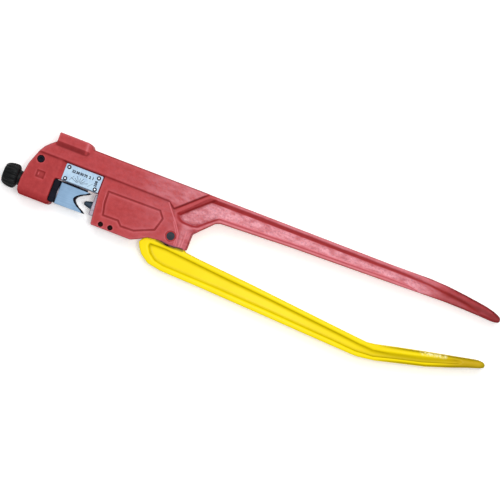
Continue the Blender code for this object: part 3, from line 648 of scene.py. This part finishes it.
# How much longer and fuller the tip is than the flat handle's.
TIP_LONGER, TIP_FULLER = 1.6, 2.0
CASTING_TRIANGLES = 190000


def beyond_slant(x, y):
    """How far along the tool a point lies beyond the slanted rim."""
    return x - SLANT * (y - SLANT_Y)


def in_channel_zone(x, y):
    """The red handle's channel and its two rims, seen from the front."""
    return ease(beyond_slant(x, y), -7.0, -3.0) * ease(y, 16.0, 19.0) * ease(x, -6.0, -2.0)


def rim_height(x):
    """Half the thickness of the red handle at its rims."""
    return RIM_HEIGHT - RIM_TAPER * (x - RIM_X) / RIM_LENGTH


def on_housing(x, y, z):
    return (np.abs(z) > HOUSING_Z) & (x < HOUSING_END) & (y < HOUSING_TOP)


def stamp_relief(x, y):
    square = np.maximum(np.abs(x - STAMP_X) / STAMP_HALF_X, np.abs(y - STAMP_Y) / STAMP_HALF_Y)
    pillow = np.hypot((x - PILLOW_X) / PILLOW_HALF_X, (y - STAMP_Y) / PILLOW_HALF_Y)
    return STAMP_DEPTH * fade(square, 0.76, 1.0) - PILLOW_HEIGHT * fade(pillow, 0.0, 1.0)


def casting_relief(x, y, z):
    """How far each face drops towards the middle plane, in millimetres."""
    housing = on_housing(x, y, z)
    drop = PANEL_DEPTH * ridge(x, y, PANEL, PANEL_WIDTH) * housing
    for path, width, height in HOUSING_RIDGES:
        drop -= height * ridge(x, y, path, width) * housing
    for path, width, height in EAR_RIDGES:
        drop -= height * ridge(x, y, path, width) * (np.abs(z) > EAR_Z)
    drop += stamp_relief(x, y) * ease(np.abs(z), 14.6, 16.0)
    head = (x < HEAD_END) & (y < 0.0)
    drop += HEAD_ROLL_DEPTH * roll(HEAD_ROLL_Y - y, HEAD_ROLL_REACH, power=1.6) * head
    ear = ease(x, 15.0, 18.0) * fade(y, 12.0, 21.0)
    drop += EAR_ROLL_DEPTH * roll(x - EAR_ROLL_X, EAR_ROLL_REACH, power=1.7) * ear
    edges = (RED_TOP, RED_BOTTOM)
    drop += round_grip(x, y, z, *edges, GRIP_START, GRIP_FULL, GRIP_DEPTH, GRIP_FLOOR, rim_height(x))
    return drop


def channel_highlights(wear_and_light, x, y, z, ny, channel):
    """Painted highlights: lighter slopes in the handle's channel, most where they face the spine, and
    along the crest of its lower rim.
    """
    slopes = np.maximum(wear_and_light, 0.14 + 0.8 * ease(ny, 0.1, 0.5))
    wear_and_light = blend(wear_and_light, slopes, channel * ease(x, 44.0, 54.0))
    low_rim = in_channel_zone(x, y) * (y < 48.0) * ease(np.abs(z) - rim_height(x), -1.6, -0.8)
    return wear_and_light + 0.9 * low_rim * ease(x, 44.0, 60.0) * fade(x, 300.0, 330.0)


def slanted_rim_light_and_shade(wear_and_light, x, y):
    """Painted light on the slanted rim: a slightly lit, even band between two lines of painted shade.
    """
    length = ease(y, 31.0, 36.0) * fade(y, 60.0, 64.0) * fade(x, 34.0, 44.0)
    across = beyond_slant(x, y) / SLANT_LENGTH
    band = ease(across, -6.6, -4.6) * fade(across, 2.6, 4.4)
    near = 1.0 - np.abs(across - NEAR_LINE) / NEAR_LINE_HALF
    far = 1.0 - np.abs(across - FAR_LINE) / FAR_LINE_HALF
    line = np.maximum(near, far)
    wear_and_light = blend(wear_and_light, 0.3, length * band)
    return blend(wear_and_light, -0.85 * np.clip(1.6 * line, 0.0, 1.0), (line > 0.0) * length)


def outline_shade(wear_and_light, x, y, ny, nz, channel):
    """Painted shade: the dark outline on slopes down to the sides, darkest along the tool's upper
    edge, and on the slope under the pad, the step at the jaw and the head, most low on the head.
    """
    outline = fade(nz, 0.6, 0.9) * ease(nz, 0.05, 0.3) * (1.0 - channel)
    wear_and_light = wear_and_light - outline * (0.7 + 0.6 * ease(ny, 0.2, 0.6) * (y > 44.0))
    pad_slope = fade(ny, -0.3, -0.15) * (x < -127.0) * (x > -174.0) * ease(y, 51.0, 54.0)
    jaw_step = ease(x, -163.0, -157.0) * (x < -150.0) * (y < -8.0)
    head = (0.14 + 0.28 * fade(y, -16.0, -4.0)) * fade(x, -158.0, -151.0) * fade(y, 39.5, 41.0)
    return wear_and_light - 0.9 * pad_slope - 0.7 * jaw_step - head


def tail_shade(wear_and_light, x, y, faces):
    """Painted shade: the dark line along the handle's upper edge, and the darker grip towards the
    tip.
    """
    crest_x, crest_y = zip(CREST_START, *RED_TOP)
    along = (x > CREST_START[0]) * (x < CREST_END)
    wear_and_light = wear_and_light - 0.55 * ease(y - np.interp(x, crest_x, crest_y), -2.2, -0.8) * along * faces
    wear_and_light = blend(wear_and_light, np.minimum(1.2 * wear_and_light, 0.25 * wear_and_light) - 0.45, ease(x, 316.0, 352.0))
    across = across_grip(x, y, RED_TOP, RED_BOTTOM)
    dark = 0.35 + 0.2 * ease(x, 372.0, 400.0)
    dark += 0.6 * ease(np.abs(across), 0.65, 0.92)
    dark += 0.5 * fade(np.abs(across - 0.05), 0.1, 0.45)
    wear_and_light = blend(wear_and_light, -dark * (0.4 + 0.6 * faces), ease(x, 336.0, 366.0))
    return wear_and_light - 0.6 * ease(x, 404.0, 416.0) * faces


def casting_wear_and_light(mesh, x, y, z):
    """Worn paint and painted highlights (plus), painted shade (minus); the places are those before
    the relief.
    """
    wear_and_light = edge_field(mesh)
    for path, width, amount in HOUSING_LIGHT_LINES:
        wear_and_light += amount * ridge(x, y, path, width) * on_housing(x, y, z)
    for path, width, amount in FACE_LIGHT_LINES:
        wear_and_light += amount * ridge(x, y, path, width) * (np.abs(z) > 13.0)
    # A painted highlight on the pad's rounded end.
    wear_and_light += 0.8 * ridge(x, y, PAD_SHINE, 2.6)
    ny, nz = normals_of(mesh).T[1:]
    nz = np.abs(nz)
    faces = ease(nz, 0.1, 0.3)
    channel = in_channel_zone(x, y) * fade(np.abs(z), 15.2, 16.2) * faces
    wear_and_light = channel_highlights(wear_and_light, x, y, z, ny, channel)
    wear_and_light = slanted_rim_light_and_shade(wear_and_light, x, y)
    wear_and_light = outline_shade(wear_and_light, x, y, ny, nz, channel)
    return tail_shade(wear_and_light, x, y, faces)


def casting_texture_and_sheen(mesh, x, y, z):
    """How much of the rough cast surface shows through, which also sets the painted pink sheen: least
    on the machined faces.
    """
    housing = fade(x, 6.0, 12.0) * fade(y, 39.0, 41.5) * ease(np.abs(z), 10.0, 13.0)
    head = fade(x, -160.0, -157.0) * fade(y, 39.0, 41.0)
    machined = np.maximum(housing, head)
    # Rising from the head towards the pivot, and most on the channel's floor: rough cast surface and
    # painted sheen alike.
    mottle = 0.10 + 0.07 * ease(x, -130.0, -60.0) + 0.30 * ease(x, -70.0, -25.0)
    mottle += 0.1 * ease(x, -12.0, 4.0)
    beside_panel = ease(y, 4.0, 30.0) * fade(y, 38.5, 40.5) * ease(x, -104.0, -98.0)
    mottle += 0.10 * beside_panel * (x < 0.0)
    channel_floor = ease(x, -12.0, 0.0) * ease(y, 14.0, 18.0) * fade(np.abs(z), 10.5, 13.0)
    mottle += 0.4 * channel_floor * (0.7 + 0.4 * ease(x, 28.0, 56.0))
    # Less towards the tip, as painted shade where the sheen falls off.
    mottle *= 1.0 - 0.7 * ease(x, 300.0, 350.0)
    across = beyond_slant(x, y) / SLANT_LENGTH
    slanted_rim = ease(across, -6.6, -4.6) * fade(across, 3.4, 5.4)
    mottle *= 1.0 - 0.9 * slanted_rim * ease(y, 31.0, 36.0) * fade(x, 34.0, 44.0)
    # Less on slopes and the channel's walls, which get less painted sheen.
    ny, nz = normals_of(mesh).T[1:]
    walls = in_channel_zone(x, y) * fade(ny, -0.1, 0.1)
    mottle *= ease(np.abs(nz), 0.3 + 0.42 * walls, 0.75 + 0.19 * walls)
    return (1.0 - 0.55 * machined) * mottle


def casting_dark_shade(x, y):
    """Painted shade in dark navy: the shaded gap over the die, and the shadowed edge under the pivot.
    """
    gap_shade = ease(x, -152.5, -151.5) * fade(x, -103.5, -102.5)
    gap_shade *= ease(y, 12.4, 13.4) * fade(y, 16.4, 17.2)
    return np.maximum(gap_shade, 0.85 * ridge(x, y, PIVOT_EDGE, 2.4))


casting = copy_of("frame_casting", "casting")
remesh(casting, rounds=3)
x, y, z = local(casting.data).T
smooth_where(casting, in_channel_zone(x, y), rounds=26)
x, y, z = local(casting.data).T
pad_end = ease(x, -137.0, -133.0) * fade(x, -126.0, -123.0) * ease(y, 50.0, 54.0)
smooth_where(casting, pad_end, rounds=14)
x, y, z = local(casting.data).T
head_side = ease(x, -166.0, -162.0) * fade(x, -154.5, -153.0)
head_side *= ease(y, -12.0, -8.0) * fade(y, 40.0, 42.0) * (np.abs(z) > 8.0)
smooth_where(casting, head_side, rounds=24)

x, y, z = local(casting.data).T
lower_faces(casting.data, casting_relief(x, y, z))
longer = TIP_LONGER * ease(x, 380.0, 414.0)
fuller = TIP_FULLER * ease(x, 376.0, 408.0) * ease(y, 46.5, 54.0)
swell(casting.data, longer, fuller)
# Worn edges, painted highlights and painted shade, for the red paint.
store(casting.data, "wear_and_painted_light", np.clip(casting_wear_and_light(casting.data, x, y, z), -1.0, 1.0))
thin_out(casting, CASTING_TRIANGLES)
x, y, z = local(casting.data).T
store(casting.data, "cast_and_sheen", casting_texture_and_sheen(casting.data, x, y, z))
store(casting.data, "dark_shade", casting_dark_shade(x, y))
shade(casting, ALL_SMOOTH)
put_on(casting, RED, "frame", "frame_casting")

# A lip of paint round the pivot pin: height above the middle plane, and radius.
LIP_SECTION = [(16.6, 5.3), (16.95, 5.3), (17.15, 5.6), (17.15, 6.5), (16.4, 6.7)]
for way, name in ((1.0, "pivot_lip_front"), (-1.0, "pivot_lip_back")):
    section = [(way * along, radius) for along, radius in LIP_SECTION]
    put_on(turned(name, "Z", ON_AXIS, section), RED, "frame", slot="red_paint")

# ---------------------------------------------------------------- yellow handle
# The handle's edges near its tip.
YELLOW_TOP = [
    (276.0, -35.3), (286.0, -34.0), (315.8, -27.0), (345.6, -20.5), (376.6, -14.0),
    (407.6, -7.4), (421.0, -9.0),
]
YELLOW_BOTTOM = [
    (276.0, -55.6), (292.3, -53.2), (322.5, -45.5), (353.0, -37.8), (382.2, -27.9),
    (416.5, -15.0), (421.0, -13.0),
]
# The painted shadow under the fork, and the painted glint on the grip.
FORK_SHADOW = [(-14.0, -11.0), (0.0, -12.4), (20.0, -11.6)]
GRIP_GLINT = [(344.0, -22.6), (372.0, -17.0)]
# The cam pin's hole, and the heights of the plug that closes it at each face.
CAM_PIN_X, CAM_PIN_Y, CAM_PIN_RADIUS = 5.0, -23.5, 3.6
PLUG_LOW, PLUG_HIGH = 6.6, 8.6
# The rounded grip: where it begins, where it is complete, how far its edges drop and from where.
YELLOW_START, YELLOW_FULL, YELLOW_DEPTH = 268.0, 340.0, 5.6
YELLOW_FLOOR, YELLOW_RIM = 8.6, 12.0
# How much longer the tip is, and how much its upper corner stands up.
YELLOW_LONGER, YELLOW_CORNER = 1.8, 2.3
HANDLE_TRIANGLES = 150000


def handle_wear_and_shade(mesh, x, y, nz, faces):
    """Worn edges, a painted shadow under the fork, and painted shade on slopes and along the grip's
    edges, darkest at the tip.
    """
    across = np.abs(across_grip(x, y, YELLOW_TOP, YELLOW_BOTTOM))
    wear_and_light = edge_field(mesh)
    wear_and_light -= 2.5 * ridge(x, y, FORK_SHADOW, 2.6)
    wear_and_light -= (0.25 + 0.65 * ease(across, 0.55, 0.95) * faces) * ease(x, 262.0, 330.0)
    wear_and_light = blend(wear_and_light, -0.12 - 0.88 * ease(across, 0.5, 0.9) * faces, ease(x, 352.0, 396.0))
    wear_and_light -= 0.8 * ease(x, 413.0, 419.0) * faces
    return wear_and_light - 0.5 * fade(nz, 0.55, 0.85) * ease(nz, 0.05, 0.3)


handle = copy_of("moving_handle", "fork_handle")
fill_hole(handle, CAM_PIN_X, CAM_PIN_Y, CAM_PIN_RADIUS, PLUG_LOW, PLUG_HIGH)
remesh(handle, rounds=8)
x, y, z = local(handle.data).T
edges = (YELLOW_TOP, YELLOW_BOTTOM)
shape = (YELLOW_START, YELLOW_FULL, YELLOW_DEPTH, YELLOW_FLOOR, YELLOW_RIM)
lower_faces(handle.data, round_grip(x, y, z, *edges, *shape))
corner = ease(x, 405.0, 416.0) * ease(y, -13.5, -9.0) * (1.0 - 0.5 * ease(x, 417.0, 421.0))
swell(handle.data, YELLOW_LONGER * ease(x, 400.0, 418.0), YELLOW_CORNER * corner)
nz = np.abs(normals_of(handle.data)[:, 2])
faces = ease(nz, 0.2, 0.5)
# Worn edges, a painted shadow and painted shade, for the yellow paint.
store(handle.data, "wear_and_painted_light", np.clip(handle_wear_and_shade(handle.data, x, y, nz, faces), -1.0, 1.0))
# Where the painted glint lies.
store(handle.data, "painted_glint", 0.9 * faces * ridge(x, y, GRIP_GLINT, 4.6))
# Painted shade, growing towards the tip.
store(handle.data, "tip_shade", 0.75 * ease(x, 352.0, 400.0))
thin_out(handle, HANDLE_TRIANGLES)
shade(handle, ALL_SMOOTH)
put_on(handle, YELLOW, "handle", "moving_handle")

# ---------------------------------------------------------------- knob
FLUTES, FLUTE_DEPTH, FLUTE_START = 18, 1.15, 12.4
# The knob's profile from its outer end to its neck: place along the tool, and radius.
KNOB_STATIONS = [
    (-219.4, 4.6), (-222.9, 4.6), (-223.5, 5.2), (-223.6, 9.2), (-223.1, 11.0), (-222.4, 12.0),
    (-221.3, 12.9), (-219.9, 13.6), (-218.4, 14.2), (-216.4, 14.8), (-214.6, 15.2),
    (-211.0, 15.5), (-208.6, 15.5), (-207.4, 15.2), (-206.4, 14.7), (-205.5, 13.8),
    (-204.8, 12.6), (-204.35, 11.4), (-204.3, 9.6), (-200.6, 9.5), (-200.4, 9.2),
]


def flute(radius, angle):
    """The knob's radius with its flutes, which run out towards both ends."""
    depth = FLUTE_DEPTH * min(1.0, max(0.0, (radius - FLUTE_START) / 2.0))
    return radius - depth * (0.5 - 0.5 * math.cos(FLUTES * angle)) ** 0.7


knob = turned(
    "grip_knob", "X", ON_AXIS, KNOB_STATIONS, sides=FLUTES * 10, wave=flute, smooth_angle=50.0
)
put_on(knob, KNOB, "knob", "knob")

# ---------------------------------------------------------------- jaw
# The walls of the die's V go down from a chamfer round each bright face; walls and chamfers take the
# black material, as painted shade in the V.
V_APEX = (-130.2, 0.0)
V_SIDE = [(-129.5, 2.0), (-127.4, 4.6), (-122.9, 7.9), (-117.2, 10.6), (-113.8, 13.4)]
V_EDGE = [(px, -py) for px, py in reversed(V_SIDE)] + [V_APEX] + V_SIDE
V_CHAMFER = 2.3
DIE_BACK, DIE_SIDE = -150.6, 14.0
# Levels of the die from back to front: height, inset of the outer edge, chamfer of the V.
DIE_LEVELS = (
    (-9.9, 0.4, 0.0), (-9.5, 0.0, 0.0), (-8.0, 0.0, V_CHAMFER),
    (8.0, 0.0, V_CHAMFER), (9.5, 0.0, 0.0), (9.9, 0.4, 0.0),
)
SHANK_STATIONS = [(-150.0, 10.0), (-167.4, 10.0), (-168.0, 9.4)]
# A black strip that fills the shaded gap between the plate's ledge and the die, moving with the die:
# painted shade.
SHADE_STRIP_START, SHADE_STRIP_END, SHADE_STRIP_LOW, SHADE_STRIP_HIGH, SHADE_STRIP_HALF = -150.3, -117.6, 13.4, 15.6, 8.4


def die_block():
    bm = bmesh.new()
    rows = []
    for level, inset, chamfer in DIE_LEVELS:
        ends = [(DIE_BACK + inset, side * (DIE_SIDE - inset)) for side in (-1.0, 1.0)]
        mouth = [(px + chamfer, py) for px, py in V_EDGE]
        ring = [ends[0]] + mouth + [ends[1]]
        rows.append([bm.verts.new(at(px, py, level)) for px, py in ring])
    skin(bm, rows)
    return mesh_object("die_block", bm)


def in_v(polygon):
    """True for the V's walls and chamfers."""
    centre = (polygon.center - PIVOT) / MM
    inside = centre.x > V_APEX[0] - 0.3 and abs(centre.y) < DIE_SIDE - 0.1
    return inside and polygon.normal.x > 0.2 and abs(polygon.normal.z) < 0.95


die = die_block()
die.data.materials.append(DIE)
die.data.materials.append(BLACK)
for polygon in die.data.polygons:
    if in_v(polygon):
        polygon.material_index = 1
soft_edges(die, 0.25, angle=25.0)
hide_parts("v_die")
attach(die, "die")
shank = turned("die_shank", "X", ON_AXIS, SHANK_STATIONS, sides=64)
put_on(shank, STEEL, "die", slot="bright_steel")

# The black strip of painted shade over the die.
shade_strip_outline = [
    (SHADE_STRIP_START, SHADE_STRIP_LOW), (SHADE_STRIP_END, SHADE_STRIP_LOW), (SHADE_STRIP_END, SHADE_STRIP_HIGH), (SHADE_STRIP_START, SHADE_STRIP_HIGH),
]
shade_strip = prism("shaded_gap_strip", shade_strip_outline, -SHADE_STRIP_HALF, SHADE_STRIP_HALF)
soft_edges(shade_strip, 0.3)
put_on(shade_strip, BLACK, "die", slot="black_oxide")

PUNCH_STATIONS = [
    (-84.4, 4.6), (-105.4, 4.6), (-105.6, 5.3), (-110.0, 4.1), (-113.6, 3.1), (-115.0, 2.6),
    (-115.8, 1.9), (-116.25, 1.0),
]
put_on(turned("indenter", "X", ON_AXIS, PUNCH_STATIONS), DARK, "ram", "punch")

# ---------------------------------------------------------------- size plate
plate_low, plate_high = ((Vector(corner) - PIVOT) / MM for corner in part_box("size_plate"))
PLATE_TOP, PLATE_CORNER = plate_high.z, 1.4
# Printed digits: places of the middle of the first one, and the steps between them.
TOP_ROW, TOP_ROW_X, TOP_ROW_Y, DIGIT_STEP, PAIR_GAP = "22385070", -141.8, 31.6, 2.3, 0.6
LONE_DIGITS = (("2", -119.4), ("1", -115.4))
COLUMN, COLUMN_X, COLUMN_Y, COLUMN_STEP = "802", -109.8, 29.4, 2.5
DIGIT, LONE_DIGIT, DIGIT_BOLD, DIGIT_HEIGHT = 4.4, 4.6, 0.06, 0.05
# The printed lines, and the line of painted shade under the plate's lower edge, reach from below the
# plate's face to above it.
LINE_LOW, LINE_HIGH, EDGE_SHADE_WIDTH = 0.05, 0.06, 0.6
# The fan of lines, and single lines from end to end with their width.
FAN_X, FAN_Y, FAN_LINES, FAN_START, FAN_STEP = -130.0, 19.0, 7, 152.0, 20.5
FAN_LONG, FAN_SHORT, FAN_WIDER, FAN_WIDTH = 9.4, 7.6, 1.35, 0.5
LONE_LINES = ((-142.6, 20.0, -138.4, 26.4, 0.3), (-118.6, 20.0, -113.4, 25.6, 0.3))


def rounded_box(low, high, radius, steps=5):
    """A rectangle's outline with round corners."""
    outline = []
    for cx, cy, start in (
        (high.x - radius, high.y - radius, 0.0), (low.x + radius, high.y - radius, 90.0),
        (low.x + radius, low.y + radius, 180.0), (high.x - radius, low.y + radius, 270.0),
    ):
        for i in range(steps + 1):
            a = math.radians(start + 90.0 * i / steps)
            outline.append((cx + radius * math.cos(a), cy + radius * math.sin(a)))
    return outline


plate_outline = rounded_box(plate_low, plate_high, PLATE_CORNER)
plate = prism("rating_plate", plate_outline, plate_low.z, plate_high.z)
soft_edges(plate, 0.3)
put_on(plate, PLATE, "frame", "size_plate")


def bar(x0, y0, x1, y1, width):
    """A printed line on the plate."""
    run = Vector((x1 - x0, y1 - y0))
    side = Vector((-run.y, run.x)).normalized() * width / 2.0
    ends = ((x0, y0, 1.0), (x0, y0, -1.0), (x1, y1, -1.0), (x1, y1, 1.0))
    outline = [(px + side.x * way, py + side.y * way) for px, py, way in ends]
    return prism("mark", outline, PLATE_TOP - LINE_LOW, PLATE_TOP + LINE_HIGH)


def digit(text, x, y, size, turn=0.0):
    """A printed digit, lying on the plate."""
    curve = bpy.data.curves.new("mark", "FONT")
    curve.body = text
    curve.size = size * MM
    curve.offset = size * DIGIT_BOLD * MM
    curve.extrude = DIGIT_HEIGHT * MM
    curve.align_x, curve.align_y = "CENTER", "CENTER"
    obj = bpy.data.objects.new("mark", curve)
    bpy.context.scene.collection.objects.link(obj)
    place = Matrix.Translation(at(x, y, PLATE_TOP)) @ Matrix.Rotation(math.radians(turn), 4, "Z")
    graph = bpy.context.evaluated_depsgraph_get()
    mesh = bpy.data.meshes.new_from_object(obj.evaluated_get(graph))
    mesh.transform(place)
    bpy.data.objects.remove(obj, do_unlink=True)
    return link_object("mark", mesh)


def printed_digits():
    marks = []
    for i, label in enumerate(TOP_ROW):
        along = TOP_ROW_X + DIGIT_STEP * i + PAIR_GAP * (i // 2)
        marks.append(digit(label, along, TOP_ROW_Y, DIGIT))
    for label, along in LONE_DIGITS:
        marks.append(digit(label, along, TOP_ROW_Y, LONE_DIGIT))
    for i, label in enumerate(COLUMN):
        marks.append(digit(label, COLUMN_X, COLUMN_Y - COLUMN_STEP * i, DIGIT, turn=90.0))
    return marks


def printed_lines_and_edge_shade():
    marks = []
    for i in range(FAN_LINES):
        spread = math.radians(FAN_START - FAN_STEP * i)
        reach = FAN_SHORT if i % 2 else FAN_LONG
        c, s = math.cos(spread), math.sin(spread)
        near = (FAN_X + 2.6 * c, FAN_Y + 2.2 * s)
        far = (FAN_X + FAN_WIDER * reach * c, FAN_Y + reach * s)
        marks.append(bar(*near, *far, FAN_WIDTH))
    # A dark line along the plate's lower edge: painted shade under the edge.
    low_y = plate_low.y + 0.6
    marks.append(bar(plate_low.x + 0.8, low_y, plate_high.x - 0.8, low_y, EDGE_SHADE_WIDTH))
    for line in LONE_LINES:
        marks.append(bar(*line))
    return marks


def join_all(name, parts):
    """One piece from many small ones."""
    bm = bmesh.new()
    for part in parts:
        bm.from_mesh(part.data)
        bpy.data.objects.remove(part, do_unlink=True)
    return mesh_object(name, bm)


plate_marks = join_all("plate_marks", printed_digits() + printed_lines_and_edge_shade())
put_on(plate_marks, INK, "frame", slot="black_oxide")

# A dark ring of ink round each rivet's head, as painted shade at its edge: height above the plate,
# and radius.
SHADE_RING_SECTION = [(0.3, 1.1), (1.18, 1.1), (1.3, 1.35), (1.3, 2.1), (0.9, 2.5), (-0.1, 2.7)]
for i, name in enumerate(RIVETS, 1):
    low, high = (Vector(corner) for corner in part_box(name))
    middle = ((low + high) / 2.0 - PIVOT) / MM
    section = [(PLATE_TOP + up, radius) for up, radius in SHADE_RING_SECTION]
    ring = turned(f"rivet_shade_ring_{i}", "Z", (middle.x, middle.y), section, sides=32)
    put_on(ring, INK, "frame", slot="black_oxide")

# ---------------------------------------------------------------- return spring
SPRING_Y, POST_X, ANCHOR_X = 19.5, -90.0, -46.0
COIL_R, WIRE_R, COIL_START, COIL_END, TURNS = 2.5, 0.45, -84.0, -52.0, 13.25
FRONT_HOOK_R, REAR_HOOK_R, HOOK_STEPS, TURN_STEPS = 2.65, 2.35, 14, 16


def hook_path(x, radius, start, sweep):
    """Points round a hook, from a starting angle through a sweep, in degrees."""
    turns = [math.radians(start + sweep * i / HOOK_STEPS) for i in range(HOOK_STEPS + 1)]
    return [Vector((x + radius * math.cos(a), SPRING_Y, radius * math.sin(a))) for a in turns]


def coil_path():
    """Points along the turns, from the post's end to the anchor's."""
    path = []
    steps = int(TURNS * TURN_STEPS)
    for i in range(steps + 1):
        t = i / steps
        a = math.radians(-90.0) + 2.0 * math.pi * TURNS * t
        along = COIL_START + (COIL_END - COIL_START) * t
        path.append(Vector((along, SPRING_Y + COIL_R * math.cos(a), COIL_R * math.sin(a))))
    return path


def wire(name, path, radius, sides=8):
    """A round wire along a path, without twist."""
    bm = bmesh.new()
    rings = []
    side = Vector((0.0, 1.0, 0.3)).normalized()
    for i, place in enumerate(path):
        run = (path[min(i + 1, len(path) - 1)] - path[max(i - 1, 0)]).normalized()
        side = (side - run * side.dot(run)).normalized()
        other = run.cross(side)
        ring = []
        for k in range(sides):
            a = 2.0 * math.pi * k / sides
            p = place + (side * math.cos(a) + other * math.sin(a)) * radius
            ring.append(bm.verts.new(at(p.x, p.y, p.z)))
        rings.append(ring)
    skin(bm, rings)
    return mesh_object(name, bm, 60.0)


turns = coil_path()
front_hook = hook_path(POST_X, FRONT_HOOK_R, start=30.0, sweep=295.0) + turns[:1]
rear_hook = turns[-1:] + hook_path(ANCHOR_X, REAR_HOOK_R, start=150.0, sweep=-295.0)
put_on(wire("spring_hook_front", front_hook, WIRE_R), WIRE, "ram", slot="spring_steel")
put_on(wire("spring_hook_rear", rear_hook, WIRE_R), WIRE, "frame", slot="spring_steel")
coil = wire("return_coil", turns, WIRE_R)
put_on(coil, WIRE, "frame", "return_spring")
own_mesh(coil)

# ---------------------------------------------------------------- softened edges
for name in ("ram", "head_cover", "ram_keeper"):
    soft_edges(nodes[name], 0.5)
for name, obj in nodes.items():
    if not obj.modifiers:
        shade(obj, 35.0)

# ---------------------------------------------------------------- stage
FLOOR_SIZE, FLOOR_Z = 6.0, -0.0004
bpy.ops.mesh.primitive_plane_add(size=FLOOR_SIZE, location=(0.0, 0.0, FLOOR_Z))
floor = bpy.context.object
floor.name = "floor"
paper, _, paper_shader = new_material("pale_floor")
paper_shader.inputs["Base Color"].default_value = (0.93, 0.93, 0.93, 1.0)
paper_shader.inputs["Roughness"].default_value = 0.95
paper_shader.inputs["Specular IOR Level"].default_value = 0.1
paper_shader.inputs["Emission Color"].default_value = (1.0, 1.0, 1.0, 1.0)
paper_shader.inputs["Emission Strength"].default_value = 0.3
floor.data.materials.append(paper)

world = bpy.data.worlds.new("studio")
bpy.context.scene.world = world
world.use_nodes = True
sky = world.node_tree.nodes["Background"]
sky.inputs["Color"].default_value = (1.0, 1.0, 1.0, 1.0)
sky.inputs["Strength"].default_value = 0.4


def area_light(name, place, target, size, power):
    data = bpy.data.lights.new(name, "AREA")
    data.shape = "DISK"
    data.size = size
    data.energy = power
    lamp = bpy.data.objects.new(name, data)
    bpy.context.scene.collection.objects.link(lamp)
    lamp.location = place
    lamp.rotation_euler = (target - place).to_track_quat("-Z", "Y").to_euler()


area_light("flash", at(178.0, 30.0, 1300.0), at(150.0, 10.0), size=0.2, power=5.0)
area_light("front_key", at(40.0, 560.0, 1400.0), at(60.0, 20.0), size=1.1, power=13.5)

# ---------------------------------------------------------------- camera
# Straight above the tool, which lies turned across the picture.
TURN = math.radians(21.1)
AIM = at(98.1, 19.4, 17.0)
DISTANCE, FIELD, SENSOR = 2.4, 0.620, 36.0
lens = bpy.data.cameras.new("camera")
lens.sensor_width = SENSOR
lens.lens = SENSOR * DISTANCE / FIELD
camera = bpy.data.objects.new("camera", lens)
bpy.context.scene.collection.objects.link(camera)
right = Vector((math.cos(TURN), math.sin(TURN), 0.0))
up = Vector((-math.sin(TURN), math.cos(TURN), 0.0))
back = Vector((0.0, 0.0, 1.0))
pose = Matrix((right, up, back)).transposed().to_4x4()
pose.translation = AIM + back * DISTANCE
camera.matrix_world = pose
bpy.context.scene.camera = camera
bpy.context.scene.view_settings.view_transform = "Standard"
